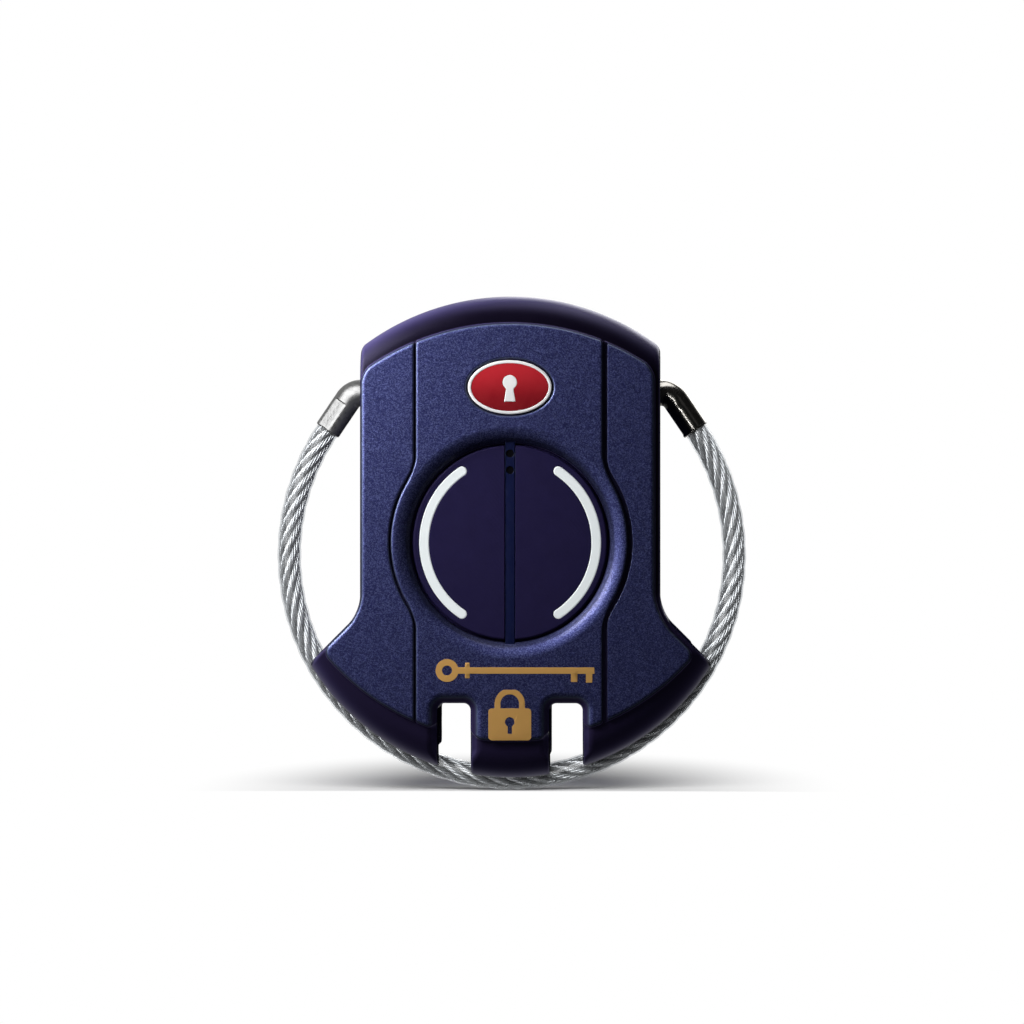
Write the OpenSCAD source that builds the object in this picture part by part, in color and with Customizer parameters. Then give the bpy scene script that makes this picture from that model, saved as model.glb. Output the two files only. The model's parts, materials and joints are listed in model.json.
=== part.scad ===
// Cable luggage lock: a round-ended housing with a two-half push button, and a
// wire-rope loop that swings on two pins and lets go at its right-hand end.
//
// Every module draws in a flat frame: x to the right, y up the lock's face and z
// from its back face (0) to its front. stand() then sets the lock upright, so the
// front faces -Y and the origin is on the back face, behind the button's centre.

/* [Housing] */
// Radius of the top arc, about the button's centre
top_r = 31.5; // [31:0.25:32]
// Radius of the lower arc, about the same centre
lower_r = 30.1; // [29.8:0.1:30.4]
// Half width of the straight flanks
half_w = 19.15; // [19:0.05:19.5]
// Height of the shoulder where the flanks turn outward at 45 degrees
shoulder_y = -8.9; // [-9.5:0.1:-8.5]
// Depth of the housing, back face to front panel
body_d = 15.5; // [15.3:0.1:16]
// Thickness of the front wall
front_wall = 1.8; // [1.6:0.1:1.9]
// Thickness of the back wall
back_wall = 1.6; // [1.5:0.1:1.6]

/* [Front panel] */
// Height of the raised panel over the rim
panel_h = 0.6; // [0.5:0.05:0.7]
// Radial width of the curved rim at the top
rim_w = 3.1; // [2.8:0.1:3.3]
// Distance of the straight panel grooves from the middle
groove_x = 12.1; // [11.8:0.1:12.4]
// Radius of the groove that runs round the button
groove_r = 15.3; // [15:0.1:15.6]
// Width of the panel grooves
groove_w = 0.7; // [0.5:0.1:0.9]
// Depth of the panel grooves
groove_d = 0.45; // [0.3:0.05:0.5]

/* [Strap notches] */
// Distance of each notch's centre from the middle
notch_x = 7.15; // [7:0.05:7.3]
// Width of each notch
notch_w = 4.2; // [4:0.1:4.4]
// Height of the top of the notches
notch_top = -20.5; // [-20.8:0.1:-20.3]
// Corner radius of the notches
notch_r = 0.9; // [0.5:0.1:1.2]

/* [Button] */
// Radius of the two-half button
button_r = 12.42; // [12.3:0.02:12.44]
// Radius of the hole it stands in
button_hole_r = 12.62; // [12.6:0.01:12.65]
// Depth level of the button's face
button_face = 14.4; // [14.2:0.1:14.5]
// Width of the fixed bar between the halves
bar_w = 1.2; // [1:0.1:1.3]
// Radius of the light inlays
inlay_r = 11; // [10.8:0.1:11.1]
// Width of the light inlays
inlay_w = 1.22; // [1:0.02:1.3]
// Half angle that each inlay spans
inlay_half_angle = 56; // [50:1:60]

/* [Loop] */
// Radius of the wire rope's centre line
loop_r = 28.65; // [28.6:0.05:28.7]
// Height of the loop's centre
loop_y = -1.64; // [-1.7:0.02:-1.6]
// Radius of the bare wire rope
rope_r = 1.35; // [1.25:0.05:1.35]
// Radius of the rope with its clear jacket
jacket_r = 1.55; // [1.5:0.01:1.55]
// Angle above the horizontal where the rope enters the ferrules
loop_end_angle = 34; // [34:1:35]
// Height of the pins' common axis
pin_y = 19.25; // [19.2:0.01:19.3]
// Radius of the pins and elbows
pin_r = 1.7; // [1.65:0.01:1.7]
// Bend radius of the elbows' centre line
bend_r = 2.1; // [2:0.05:2.2]

/* [Lock] */
// Travel of the bolt from open to locked
bolt_travel = 1.4; // [1.2:0.1:1.4]
// Where the key cylinder stands, right of the middle
key_x = 1.5; // [1.4:0.1:1.6]

/* [Hidden] */
$fn = 64;

eps = 0.01;                              // overshoot of cutting tools
far = 60;                                // longer than anything in the lock

// Housing
split_d = 7.5;                           // parting plane, which also holds the pins and the loop
panel_base = body_d - panel_h;           // depth level where the raised panel starts
wall_inner = body_d - front_wall;        // inner face of the front wall
flange_back = 9.4;                       // back of the front flange that covers the rope
rim_edge = 11.2;                         // depth level of the rim's outermost line
rim_tuck = 0.4;                          // how far the curved rim runs in under the panel
inner_r = 26.3;                          // radius of the rope's rebate, about the loop's centre
cav_w = 16.95;                           // half width of the cavity
cav_r = 29.2;                            // radius of the cavity's top
cav_bottom = -18.2;                      // lowest point of the cavity
panel_inset = 0.3;                       // step between the panel and the flanks
panel_turn_y = -2;                       // height where the panel's edge leaves the top arc
panel_low_r = lower_r - 2.9;             // panel edge on the lower arc
panel_top_r = top_r - rim_w;             // panel edge on the top arc
dish_r = 13.9;                           // outer radius of the dish round the button
gasket_in = 0.5;                         // the gasket's inner and outer edge, outside the cavity
gasket_out = 1.3;
gasket_half = 0.3;                       // half the gasket's thickness

// Screws and their bosses
screw_at = [[13.6, 24.6], [-13.6, 24.6], [20.2, -13.7], [-20.2, -13.7]];
board_screw_at = [[14.8, 9.6], [-14.8, 9.6], [14.8, -13.6], [-14.8, -13.6]];
frame_screw_at = [[6.4, 0.2], [0.2, 0.2]];
screw_r = 1;                             // radii of the housing screws and of the small ones
small_screw_r = 0.6;
screw_tip_d = 12;                        // ends of the two kinds of screw hole in the front shell
small_tip_d = 12.9;
boss_r = 2.6;
board_boss_r = 1.7;
head_hole_r = 2;                         // counterbore for the housing screws' heads
head_hole_d = 1.7;
floor_pilot_d = 0.7;                     // end of the frame screws' holes in the back wall

// Board and button
board_back = 9.1;                        // depth levels of the circuit board
board_front = 9.9;
switch_x = 7;                            // distance of each switch from the hinge
hinge_d = 11.7;                          // depth level of the button hinge
hinge_pin_r = 0.45;
knuckle_r = 0.95;
plunger_r = 0.9;
plunger_top = 10.95;
lip_r = 13.3;                            // the lip that keeps each half in the housing
lip_back = 12.5;
lip_front = 13.6;
cap_back = 12.8;                         // underside of each half
cap_gap = 0.1;                           // gap between a half and the bar
bar_end = 13.4;                          // where the bar and its seat in the dish end
bar_drop = 0.15;                         // the bar's face lies under the button's
bar_back = 12.9;
inlay_d = 0.5;                           // depth of the inlays' pockets
lens_r = bar_w / 2 - 0.1;
lens_at = [11.36, 9.24];

// Badge
badge_y = 19.8;
badge_a = 5.35;
badge_b = 3.45;
badge_floor = body_d - 0.45;             // depth levels of the badge's seat and of its own recess
badge_recess = body_d - 0.25;
badge_rim = 0.45;
keyhole_r = 0.92;                        // the keyhole's round head and tapered slot
keyhole_head_y = badge_y + 0.62;
keyhole_slot = [[-0.36, 0.4], [0.36, 0.4], [0.74, -1.85], [-0.74, -1.85]];

// Drive, bolt and spring
gear_m = 0.3;                            // module, teeth and pressure angle of the rack and pinion
pinion_teeth = 10;
pressure_angle = 25;
bolt_x = 9.4;                            // left face of the bolt
bolt_w = 1.6;
bolt_mid = bolt_x + bolt_w / 2;
bolt_front = 8.8;                        // depth levels of the bolt
bolt_back = 6.2;
bolt_tip = pin_y - 2.55;                 // top of the bolt when open
bolt_neck = 12.2;                        // where the bolt thickens above its rack
bolt_bottom = 3;
bolt_play = 0.15;                        // room beside the bolt in its socket
motor_y = 8.5;
motor_d = 4.9;
motor_r = 3;
motor_flat = 2.5;                        // distance of the can's two flats from its axis
motor_x0 = -1.9;                         // ends of the motor and of the gearbox
motor_x1 = 4;
gearbox_x = 8.2;
shaft_r = 0.5;
shaft_x0 = 7.4;
shaft_x1 = 11.7;
pinion_r = gear_m * pinion_teeth / 2;
rack_pitch_d = motor_d + pinion_r;
tooth_add = 0.25;                        // addendum and dedendum
tooth_ded = 0.33;
backlash = 0.06;
spring_d = 7.6;                          // depth level of the spring's axis
spring_low = -2.4;                       // the spring's fixed end
spring_r = 0.9;
wire_r = 0.15;
spring_turns = 5.5;
spring_steps = 14;
spring_sides = 6;
spring_guide_r = 0.5;

// Mechanism frame: a floor plate, a motor cradle, two guides for the bolt and a spring seat
frame_x0 = -2;
frame_x1 = 12.1;
frame_y0 = -3.6;
frame_y1 = 13.2;
frame_top = 2.4;
cradle_top = 5;
guide_x = [8.3, 11.1];                   // left faces of the bolt's guides
guide_low = [3.2, 6];                    // the guides' heights below and above the pinion
guide_high = [10.9, 13.2];

// Key cylinder
cam_low = 2.8;                           // reach of the cam before the key turns
cam_d0 = 7.92;
cam_d1 = 8.85;
lug_top = pin_y - cam_low - bolt_travel - 0.05;
lug_h = 1.2;
lug_x = 0.2;
housing_r = 4.3;
plug_r = 3.1;
plug_flange = 0.5;

// Port flap, in its recess in the left flank
flap_d0 = 4.2;
flap_d1 = 10.6;
flap_half = 5;
flap_gap = 0.15;
recess_depth = 1.2;
port_half = 3.9;                         // the opening behind the flap
port_d0 = 6.1;
port_d1 = 9.3;
flap_pin_x = -18.55;
flap_pin_d = 4.8;
flap_pin_r = 0.3;
flap_knuckle_r = 0.55;
flap_barrel_half = 2.4;
flap_knuckle_y = 3.65;                   // middle and half length of the housing's two knuckles
flap_knuckle_half = 1.15;

// Sockets, elbows and rope
socket_r = 2.6;
socket_play = 0.06;                      // radial play of the pins in their sockets
fixed_socket_x = 10.6;                   // inner ends of the two sockets
free_socket_x = 7.6;
clip_space_x = 8.6;
saddle_half = 3.1;
saddle_fixed_x = 12;
saddle_free_x = 12.2;
fixed_pin_x = 9.2;                       // inner ends of the two pins
free_pin_x = 7.9;
free_groove_r = 0.8;                     // core of the groove that the bolt enters
free_groove_play = 0.2;
free_chamfer = 0.8;
clip_r = 2.3;
clip_groove_r = 1.1;
clip_groove = [9.9, 10.5];
clip_play = 0.05;
collar_r = pin_r + 0.12;                 // lip at the free ferrule's mouth
collar_len = 0.5;
rope_in = 3.6;                           // length of rope held in each ferrule
bend_step = 0.05;                        // the bend is drawn a little thinner than the straights
loop_end = [loop_r * cos(loop_end_angle), loop_y + loop_r * sin(loop_end_angle)];
bend_angle = 90 - loop_end_angle;
ferrule_len = (pin_y - loop_end[1] - bend_r * (1 - cos(bend_angle))) / sin(bend_angle);
bend_x = loop_end[0] - ferrule_len * cos(bend_angle) - bend_r * sin(bend_angle);

// ---- helpers -------------------------------------------------------------

// Sets the flat frame upright: the front faces -Y and the top +Z.
module stand() { rotate([90, 0, 0]) children(); }

// Extrudes a flat outline between two depth levels.
module slab(d0, d1) { translate([0, 0, d0]) linear_extrude(d1 - d0) children(); }

// A box between two corners.
module block(a, b) { translate(a) cube(b - a); }

// A cylinder along x between two stations.
module rod_x(r, x0, x1, y, d) { translate([x0, y, d]) rotate([0, 90, 0]) cylinder(r = r, h = x1 - x0); }

// A cylinder along y between two stations.
module rod_y(r, y0, y1, x, d) { translate([x, y1, d]) rotate([90, 0, 0]) cylinder(r = r, h = y1 - y0); }

// A cylinder along the depth.
module rod_d(r, d0, d1, x = 0, y = 0) { translate([x, y, d0]) cylinder(r = r, h = d1 - d0); }

// The x-d section of something that runs along y.
module run_y(y0, y1) { translate([0, y1, 0]) rotate([90, 0, 0]) linear_extrude(y1 - y0) children(); }

// ---- flat outlines -------------------------------------------------------

// The trunk between the flanks, closed at the top by an arc.
module trunk(w, r, bottom) {
    intersection() {
        circle(r = r, $fn = 180);
        translate([-w, bottom]) square([2 * w, far]);
    }
}

// The skirt below the shoulders, whose sides run out at 45 degrees to an arc.
module skirt(r, cy, w, top) {
    intersection() {
        translate([0, cy]) circle(r = r, $fn = 180);
        polygon([[-w, top], [w, top], [w + far, top - far], [-w - far, top - far]]);
    }
}

// The whole outline that the front shows.
module full_outline() {
    trunk(half_w, top_r, shoulder_y);
    skirt(lower_r, 0, half_w, shoulder_y);
}

// The smaller outline behind the front flange, which leaves room for the rope.
module back_outline() {
    trunk(half_w, top_r, shoulder_y);
    skirt(inner_r, loop_y, half_w, shoulder_y);
}

// The cavity's outline, grown by g.
module cavity_outline(g = 0) { trunk(cav_w + g, cav_r + g, cav_bottom - g); }

// One strap notch with two round corners.
module notch() {
    translate([-notch_w / 2 + notch_r, notch_top - notch_r])
        square([notch_w - 2 * notch_r, notch_r]);
    for (s = [-1, 1])
        translate([s * (notch_w / 2 - notch_r), notch_top - notch_r]) circle(r = notch_r);
    translate([-notch_w / 2, -far]) square([notch_w, far + notch_top - notch_r]);
}

module notches() { for (s = [-1, 1]) translate([s * notch_x, 0]) notch(); }

// The raised panel: the outline held in from the rim.
module panel_outline() {
    panel_w = half_w - panel_inset;
    intersection() {
        trunk(panel_w, panel_top_r, panel_turn_y);
        translate([-far, panel_turn_y]) square([2 * far, far]);
    }
    intersection() {
        union() {
            trunk(panel_w, top_r, shoulder_y);
            skirt(panel_low_r, 0, panel_w, shoulder_y - 0.1);
        }
        translate([-far, panel_turn_y - far]) square([2 * far, far]);
    }
}

// The panel grooves: straight lines that break off into a ring round the button.
module groove_lines() {
    inside = groove_w / 2;
    difference() {
        for (s = [-1, 1]) translate([s * groove_x - inside, -far]) square([groove_w, 2 * far]);
        circle(r = groove_r, $fn = 128);
    }
    intersection() {
        difference() {
            circle(r = groove_r + inside, $fn = 128);
            circle(r = groove_r - inside, $fn = 128);
        }
        for (s = [-1, 1])
            translate([s < 0 ? -far : groove_x - inside, -far]) square([far - groove_x + inside, 2 * far]);
    }
}

// An ellipse, drawn by formula because a squashed circle isn't an exact one.
module ellipse(a, b) { polygon([for (t = [0:7.5:352.5]) [a * cos(t), b * sin(t)]]); }

module badge_outline(g = 0) { translate([0, badge_y]) ellipse(badge_a + g, badge_b + g); }

// ---- housing -------------------------------------------------------------

// The rim's section: a quarter ellipse from the outer edge up to the panel.
function rim_section(r, w) = concat(
    [[0, flange_back], [r, flange_back], [r, rim_edge]],
    [for (t = [10:10:90]) [r - w + w * cos(t), rim_edge + (panel_base - rim_edge) * sin(t)]],
    [[0, panel_base]]
);

module rim_dome(r, w) { rotate_extrude($fn = 180) polygon(rim_section(r, w)); }

module front_blank() {
    intersection() {
        slab(flange_back, panel_base) full_outline();
        union() {
            intersection() {
                rim_dome(top_r, rim_w + rim_tuck);
                block([-far, 0, 0], [far, far, far]);
            }
            intersection() {
                rim_dome(lower_r, lower_r - panel_low_r + rim_tuck);
                block([-far, -far, 0], [far, 0, far]);
            }
        }
    }
    slab(panel_base - eps, body_d) panel_outline();
    slab(split_d, flange_back + eps) back_outline();
}

// Saddles hold the two sockets where they cross the cavity.
module saddles(d0, d1) {
    block([saddle_free_x, pin_y - saddle_half, d0], [cav_w + 0.3, pin_y + saddle_half, d1]);
    block([-cav_w - 0.3, pin_y - saddle_half, d0], [-saddle_fixed_x, pin_y + saddle_half, d1]);
}

module sockets_space() {
    rod_x(socket_r, -half_w - 1, -clip_space_x, pin_y, split_d);
    rod_x(socket_r, free_socket_x, half_w + 1, pin_y, split_d);
}

// The port's opening and the recess that its flap lies in.
module port_space() {
    block([-half_w - 1, -flap_half, flap_d0], [-half_w + recess_depth, flap_half, flap_d1]);
    block([-half_w - 1, -port_half, port_d0], [-cav_w + 1, port_half, port_d1]);
}

module gasket_groove(d0, d1) {
    slab(d0, d1) difference() {
        cavity_outline(gasket_out);
        cavity_outline(gasket_in);
    }
}

// Bosses and saddles run a little into the cavity's walls.
module front_inside() {
    intersection() {
        slab(split_d, wall_inner + eps) cavity_outline(0.3);
        union() {
            for (p = screw_at) rod_d(boss_r, split_d, wall_inner + eps, p[0], p[1]);
            for (p = board_screw_at) rod_d(board_boss_r, board_front, wall_inner + eps, p[0], p[1]);
            saddles(split_d, wall_inner + eps);
        }
    }
}

module front_shell() {
    seat_w = bar_w / 2 + 0.03;
    color("midnightblue") difference() {
        union() {
            difference() {
                front_blank();
                slab(split_d - 1, wall_inner) cavity_outline();
            }
            front_inside();
        }
        // Button hole, dish and the seats of the bar's two ends
        rod_d(button_hole_r, split_d, body_d);
        translate([0, 0, body_d - (dish_r - button_hole_r)])
            cylinder(r1 = button_hole_r, r2 = dish_r + eps, h = dish_r - button_hole_r + eps, $fn = 128);
        block([-seat_w, -bar_end - 0.05, 11], [seat_w, bar_end + 0.05, button_face - 0.1]);
        slab(body_d - groove_d, body_d + 1) groove_lines();
        slab(badge_floor, body_d + 1) badge_outline(0.15);
        slab(-1, body_d + 1) notches();
        sockets_space();
        port_space();
        gasket_groove(split_d - 1, split_d + gasket_half);
        for (p = screw_at) rod_d(screw_r, split_d - 1, screw_tip_d, p[0], p[1]);
        for (p = board_screw_at) rod_d(small_screw_r, board_front - 1, small_tip_d, p[0], p[1]);
    }
}

module rear_inside() {
    intersection() {
        slab(back_wall - eps, split_d) cavity_outline(0.3);
        union() {
            for (p = screw_at) rod_d(boss_r, 0, split_d, p[0], p[1]);
            rod_d(housing_r + 1.1, 0, 5.5, key_x, pin_y);
            saddles(0, split_d);
        }
    }
}

// Two knuckles in the flap's recess carry its hinge pin.
module flap_knuckle() {
    low = -flap_knuckle_half;
    difference() {
        union() {
            rod_y(flap_knuckle_r, low, flap_knuckle_half, flap_pin_x, flap_pin_d);
            block([flap_pin_x, low, flap_d0], [-half_w + recess_depth, flap_knuckle_half, flap_pin_d]);
        }
        rod_y(flap_pin_r, low - 1, flap_knuckle_half + 1, flap_pin_x, flap_pin_d);
    }
}

module rear_shell() {
    color("midnightblue") difference() {
        union() {
            difference() {
                slab(0, split_d) back_outline();
                slab(back_wall, split_d + 1) cavity_outline();
            }
            rear_inside();
        }
        rod_d(housing_r, -1, split_d + 1, key_x, pin_y);
        slab(-1, split_d + 1) notches();
        sockets_space();
        port_space();
        gasket_groove(split_d - gasket_half, split_d + 1);
        for (p = screw_at) {
            rod_d(screw_r + 0.1, -1, split_d + 1, p[0], p[1]);
            rod_d(head_hole_r, -1, head_hole_d, p[0], p[1]);
        }
        for (p = frame_screw_at) rod_d(small_screw_r, floor_pilot_d, 3, p[0], p[1]);
    }
    color("midnightblue") for (s = [-1, 1]) translate([0, s * flap_knuckle_y, 0]) flap_knuckle();
}

// The seal between the shells, broken where the sockets and the port cross it.
module housing_gasket() {
    color("black") difference() {
        gasket_groove(split_d - gasket_half, split_d + gasket_half);
        sockets_space();
        block([-half_w, -flap_half, 0], [-cav_w, flap_half, body_d]);
    }
}

// A pan-head screw with a cross recess. Its head's face is at depth d.
module screw(d, head_r, head_h, r, len) {
    arm = head_r * 0.62;
    wide = head_r * 0.14;
    difference() {
        union() {
            rod_d(head_r, d, d + head_h);
            rod_d(r, d + head_h - eps, d + head_h + len);
        }
        for (a = [0, 90]) rotate([0, 0, a])
            block([-arm, -wide, d - 1], [arm, wide, d + head_h * 0.6]);
    }
}

module housing_screws() {
    color("silver") for (p = screw_at)
        translate([p[0], p[1], 0]) screw(0.5, 1.85, 1.2, screw_r, 9.8);
}

// ---- button --------------------------------------------------------------

// Half of a disc that starts beside the bar.
module half_disc(r) {
    intersection() {
        circle(r = r, $fn = 128);
        translate([bar_w / 2 + cap_gap, -far]) square([far, 2 * far]);
    }
}

// A curved strip with round ends on the right-hand half.
module inlay_outline(g = 0) {
    ray = far * [cos(inlay_half_angle), sin(inlay_half_angle)];
    intersection() {
        difference() {
            circle(r = inlay_r + inlay_w / 2 + g, $fn = 128);
            circle(r = inlay_r - inlay_w / 2 - g, $fn = 128);
        }
        polygon([[0, 0], ray, [2 * far, 0], [ray[0], -ray[1]]]);
    }
    for (s = [-1, 1]) rotate([0, 0, s * inlay_half_angle])
        translate([inlay_r, 0]) circle(r = inlay_w / 2 + g);
}

// The section of a hinge knuckle: an eye and an arm to the underside of the half.
module knuckle_section() {
    arm_x = 2.4;
    step_x = 0.9;
    step_d = 12.2;
    difference() {
        union() {
            translate([0, hinge_d]) circle(r = knuckle_r);
            polygon([
                [0.3, hinge_d - 0.85], [arm_x, hinge_d - 0.1], [arm_x, cap_back + 0.1],
                [step_x, cap_back + 0.1], [step_x, step_d], [0.3, step_d]
            ]);
        }
        translate([0, hinge_d]) circle(r = hinge_pin_r + 0.05);
    }
}

// The right-hand half. The left-hand one is the same piece turned half round,
// so its knuckles lie beside these on the one pin.
module button_half() {
    difference() {
        union() {
            slab(cap_back, button_face) half_disc(button_r);
            slab(lip_back, lip_front) half_disc(lip_r);
            run_y(4.5, 6.6) knuckle_section();
            run_y(-4.4, -2.3) knuckle_section();
            rod_d(0.5, plunger_top + 0.03, lip_back + 0.1, switch_x, 0);
        }
        slab(button_face - inlay_d, button_face + 1) inlay_outline();
    }
}

module inlay_half() { slab(button_face - inlay_d, button_face + 0.03) inlay_outline(-eps); }

module right_button() { color("indigo") button_half(); }
module left_button() { color("indigo") rotate([0, 0, 180]) button_half(); }
module right_light_inlay() { color("white") inlay_half(); }
module left_light_inlay() { color("white") rotate([0, 0, 180]) inlay_half(); }

// The fixed bar between the halves. Its lugs hold the hinge pin and its feet stand on the board.
module button_bar() {
    bar = bar_w / 2;
    lug_y = 7.5;
    foot_y = 12.6;
    color("darkslateblue") difference() {
        union() {
            block([-bar, -bar_end, bar_back], [bar, bar_end, button_face - bar_drop]);
            for (s = [-1, 1]) {
                run_y(s * lug_y - 0.8, s * lug_y + 0.8) union() {
                    translate([0, hinge_d]) circle(r = knuckle_r);
                    translate([-bar, hinge_d]) square([bar_w, bar_back + 0.1 - hinge_d]);
                }
                block([-bar, s * foot_y - 0.6, board_front], [bar, s * foot_y + 0.6, bar_back + 0.1]);
            }
        }
        rod_y(hinge_pin_r, -lug_y - 1.5, lug_y + 1.5, 0, hinge_d);
        for (y = lens_at) rod_d(lens_r, hinge_d - 0.7, body_d, 0, y);
    }
}

module button_hinge_pin() { color("silver") rod_y(hinge_pin_r, -8.3, 8.3, 0, hinge_d); }

module led_lenses() {
    color("black") for (y = lens_at) rod_d(lens_r, bar_back + 0.05, button_face - 0.2, 0, y);
}

// ---- electronics ---------------------------------------------------------

module status_leds() {
    color("ivory") for (y = lens_at) block([-0.4, y - 0.5, board_front], [0.4, y + 0.5, board_front + 0.5]);
}

// A tactile switch and the plunger that stands in its well.
module switch_body() {
    half = 1.8;
    well_d = board_front + 0.15;
    difference() {
        block([-half, -half, board_front], [half, half, board_front + 0.8]);
        rod_d(plunger_r + 0.05, well_d, plunger_top);
    }
}

module switch_plunger() { rod_d(plunger_r, board_front + 0.55, plunger_top); }

module right_switch() { color("silver") translate([switch_x, 0, 0]) switch_body(); }
module left_switch() { color("silver") translate([-switch_x, 0, 0]) switch_body(); }
module right_switch_plunger() { color("black") translate([switch_x, 0, 0]) switch_plunger(); }
module left_switch_plunger() { color("black") translate([-switch_x, 0, 0]) switch_plunger(); }

// The board, notched at its top corners to clear the sockets' saddles.
module circuit_board() {
    board_w = 16.4;
    board_top = 12.9;
    notch_from = 12.3;
    color("darkgreen") difference() {
        block([-board_w, -17.5, board_back], [board_w, board_top, board_front]);
        for (p = board_screw_at) rod_d(small_screw_r + 0.15, board_back - 1, board_front + 1, p[0], p[1]);
        for (s = [-1, 1])
            translate([s * (notch_from + board_w + 0.1) / 2, 0, 0])
                block([-2.1, board_top - 0.9, board_back - 1], [2.1, board_top + 1, board_front + 1]);
    }
}

module board_screws() {
    color("silver") for (p = board_screw_at)
        translate([p[0], p[1], 0]) screw(board_back - 0.7, 1.15, 0.7, small_screw_r, 3.4);
}

// The radio's shielding can, on the back of the board.
module radio_module() {
    color("silver") block([1, -15.8, board_back - 1.2], [8, -8.8, board_back]);
}

// A flanged sounder that lies on the back wall.
module buzzer() {
    x = 5.8;
    y = -11.6;
    flange_top = back_wall + 0.5;
    color("gold") {
        rod_d(4.4, back_wall + 0.1, flange_top, x, y);
        rod_d(3.6, flange_top - eps, 4.4, x, y);
    }
}

// A flat pouch cell with a folded seam at its top.
module battery() {
    cell = [[-16.3, -17.4, 1.8], [-3.3, 7, 6]];
    seam = [[-15.8, 7 - eps, 3.6], [-3.8, 8.6, 4.2]];
    color("silver") for (b = [cell, seam]) block(b[0], b[1]);
}

// A charging socket with a tongue, against the back of the board.
module usb_socket() {
    mouth = -17;
    tail = -11.8;
    half = 3.75;
    low = 6.4;
    side = 0.4;
    skin = 0.35;
    color("silver") difference() {
        block([mouth, -half, low], [tail, half, board_back]);
        block([mouth - 1, side - half, low + skin], [tail - 0.6, half - side, board_back - skin]);
    }
    color("black") block([mouth + 0.4, -2.6, 7.5], [tail - 0.5, 2.6, 8.1]);
}

// ---- port flap -----------------------------------------------------------

// The lid, its arm and barrel on the hinge pin, and the plug that fills the port.
module port_flap() {
    outside = -half_w + 0.05;
    inside = -half_w + recess_depth - 0.1;
    lid_low = flap_d0 + 1.3;
    lid_half = flap_half - flap_gap;
    plug_half = port_half - 0.5;
    color("midnightblue") difference() {
        union() {
            block([outside, -lid_half, lid_low], [inside, lid_half, flap_d1 - flap_gap]);
            block([outside, -flap_barrel_half, flap_pin_d], [inside, flap_barrel_half, lid_low + 0.1]);
            rod_y(flap_knuckle_r, -flap_barrel_half, flap_barrel_half, flap_pin_x, flap_pin_d);
            block([inside - 0.05, -plug_half, port_d0 + 0.5], [inside + 0.8, plug_half, port_d1 - 0.5]);
        }
        rod_y(flap_pin_r + 0.03, -3, 3, flap_pin_x, flap_pin_d);
    }
}

module flap_hinge_pin() { color("silver") rod_y(flap_pin_r, -4.75, 4.75, flap_pin_x, flap_pin_d); }

// ---- badge ---------------------------------------------------------------

module badge_base() {
    color("white") difference() {
        slab(badge_floor, body_d - 0.05) badge_outline();
        slab(badge_recess, body_d + 1) badge_outline(-badge_rim);
    }
}

// A plain keyhole: a round head over a tapered slot.
module keyhole(d0, d1) {
    union() {
        rod_d(keyhole_r, d0, d1, 0, keyhole_head_y);
        slab(d0, d1) translate([0, badge_y]) polygon(keyhole_slot);
    }
}

module badge_enamel() {
    color("crimson") difference() {
        slab(badge_recess, body_d - 0.02) badge_outline(-badge_rim - eps);
        keyhole(badge_recess - 1, body_d + 1);
    }
}

module badge_mark() { color("white") keyhole(badge_recess, body_d); }

// ---- drive and bolt ------------------------------------------------------

module mechanism_frame() {
    floor_d = back_wall + 0.02;
    foot_d = frame_top - 0.1;
    color("dimgray") difference() {
        union() {
            block([frame_x0, frame_y0, floor_d], [frame_x1, frame_y1, frame_top]);
            block([frame_x0, 5.2, foot_d], [gearbox_x, 11.8, cradle_top]);
            for (x = guide_x, y = [guide_low, guide_high])
                block([x, y[0], foot_d], [x + 1, y[1], bolt_front]);
            block([9.2, guide_high[0], foot_d], [11.2, guide_high[1], bolt_back - 0.2]);
            block([guide_x[0], frame_y0, foot_d], [frame_x1, frame_y0 + 1.2, bolt_front]);
            rod_y(spring_guide_r, spring_low - 0.1, spring_low + 1.1, bolt_mid, spring_d);
        }
        rod_x(motor_r + 0.02, frame_x0 - 1, gearbox_x, motor_y, motor_d);
        rod_x(pinion_r + tooth_add + 0.2, gearbox_x - 0.1, frame_x1 + 1, motor_y, motor_d);
        for (p = frame_screw_at) rod_d(small_screw_r + 0.05, 0, 3, p[0], p[1]);
    }
}

module frame_screws() {
    color("silver") for (p = frame_screw_at)
        translate([p[0], p[1], frame_top + 0.6]) mirror([0, 0, 1]) screw(0, 1.1, 0.6, small_screw_r, 1.6);
}

module motor_can() {
    color("silver") intersection() {
        rod_x(motor_r, motor_x0, motor_x1, motor_y, motor_d);
        block([-far, motor_y - far, motor_d - motor_flat], [far, motor_y + far, motor_d + motor_flat]);
    }
}

module gearbox() {
    color("goldenrod") difference() {
        rod_x(motor_r, motor_x1, gearbox_x, motor_y, motor_d);
        rod_x(shaft_r + 0.05, shaft_x0 - 0.4, gearbox_x + 1, motor_y, motor_d);
    }
}

// Involute of the base circle, turned so that the tooth is centred on x.
function involute_angle(r, rb) = sqrt(pow(r / rb, 2) - 1) * 180 / PI - acos(rb / r);
function flank(r, rb, half) = let (a = half - involute_angle(max(r, rb), rb)) [r * cos(a), r * sin(a)];
function turned(p, a) = [p[0] * cos(a) - p[1] * sin(a), p[0] * sin(a) + p[1] * cos(a)];

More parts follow.
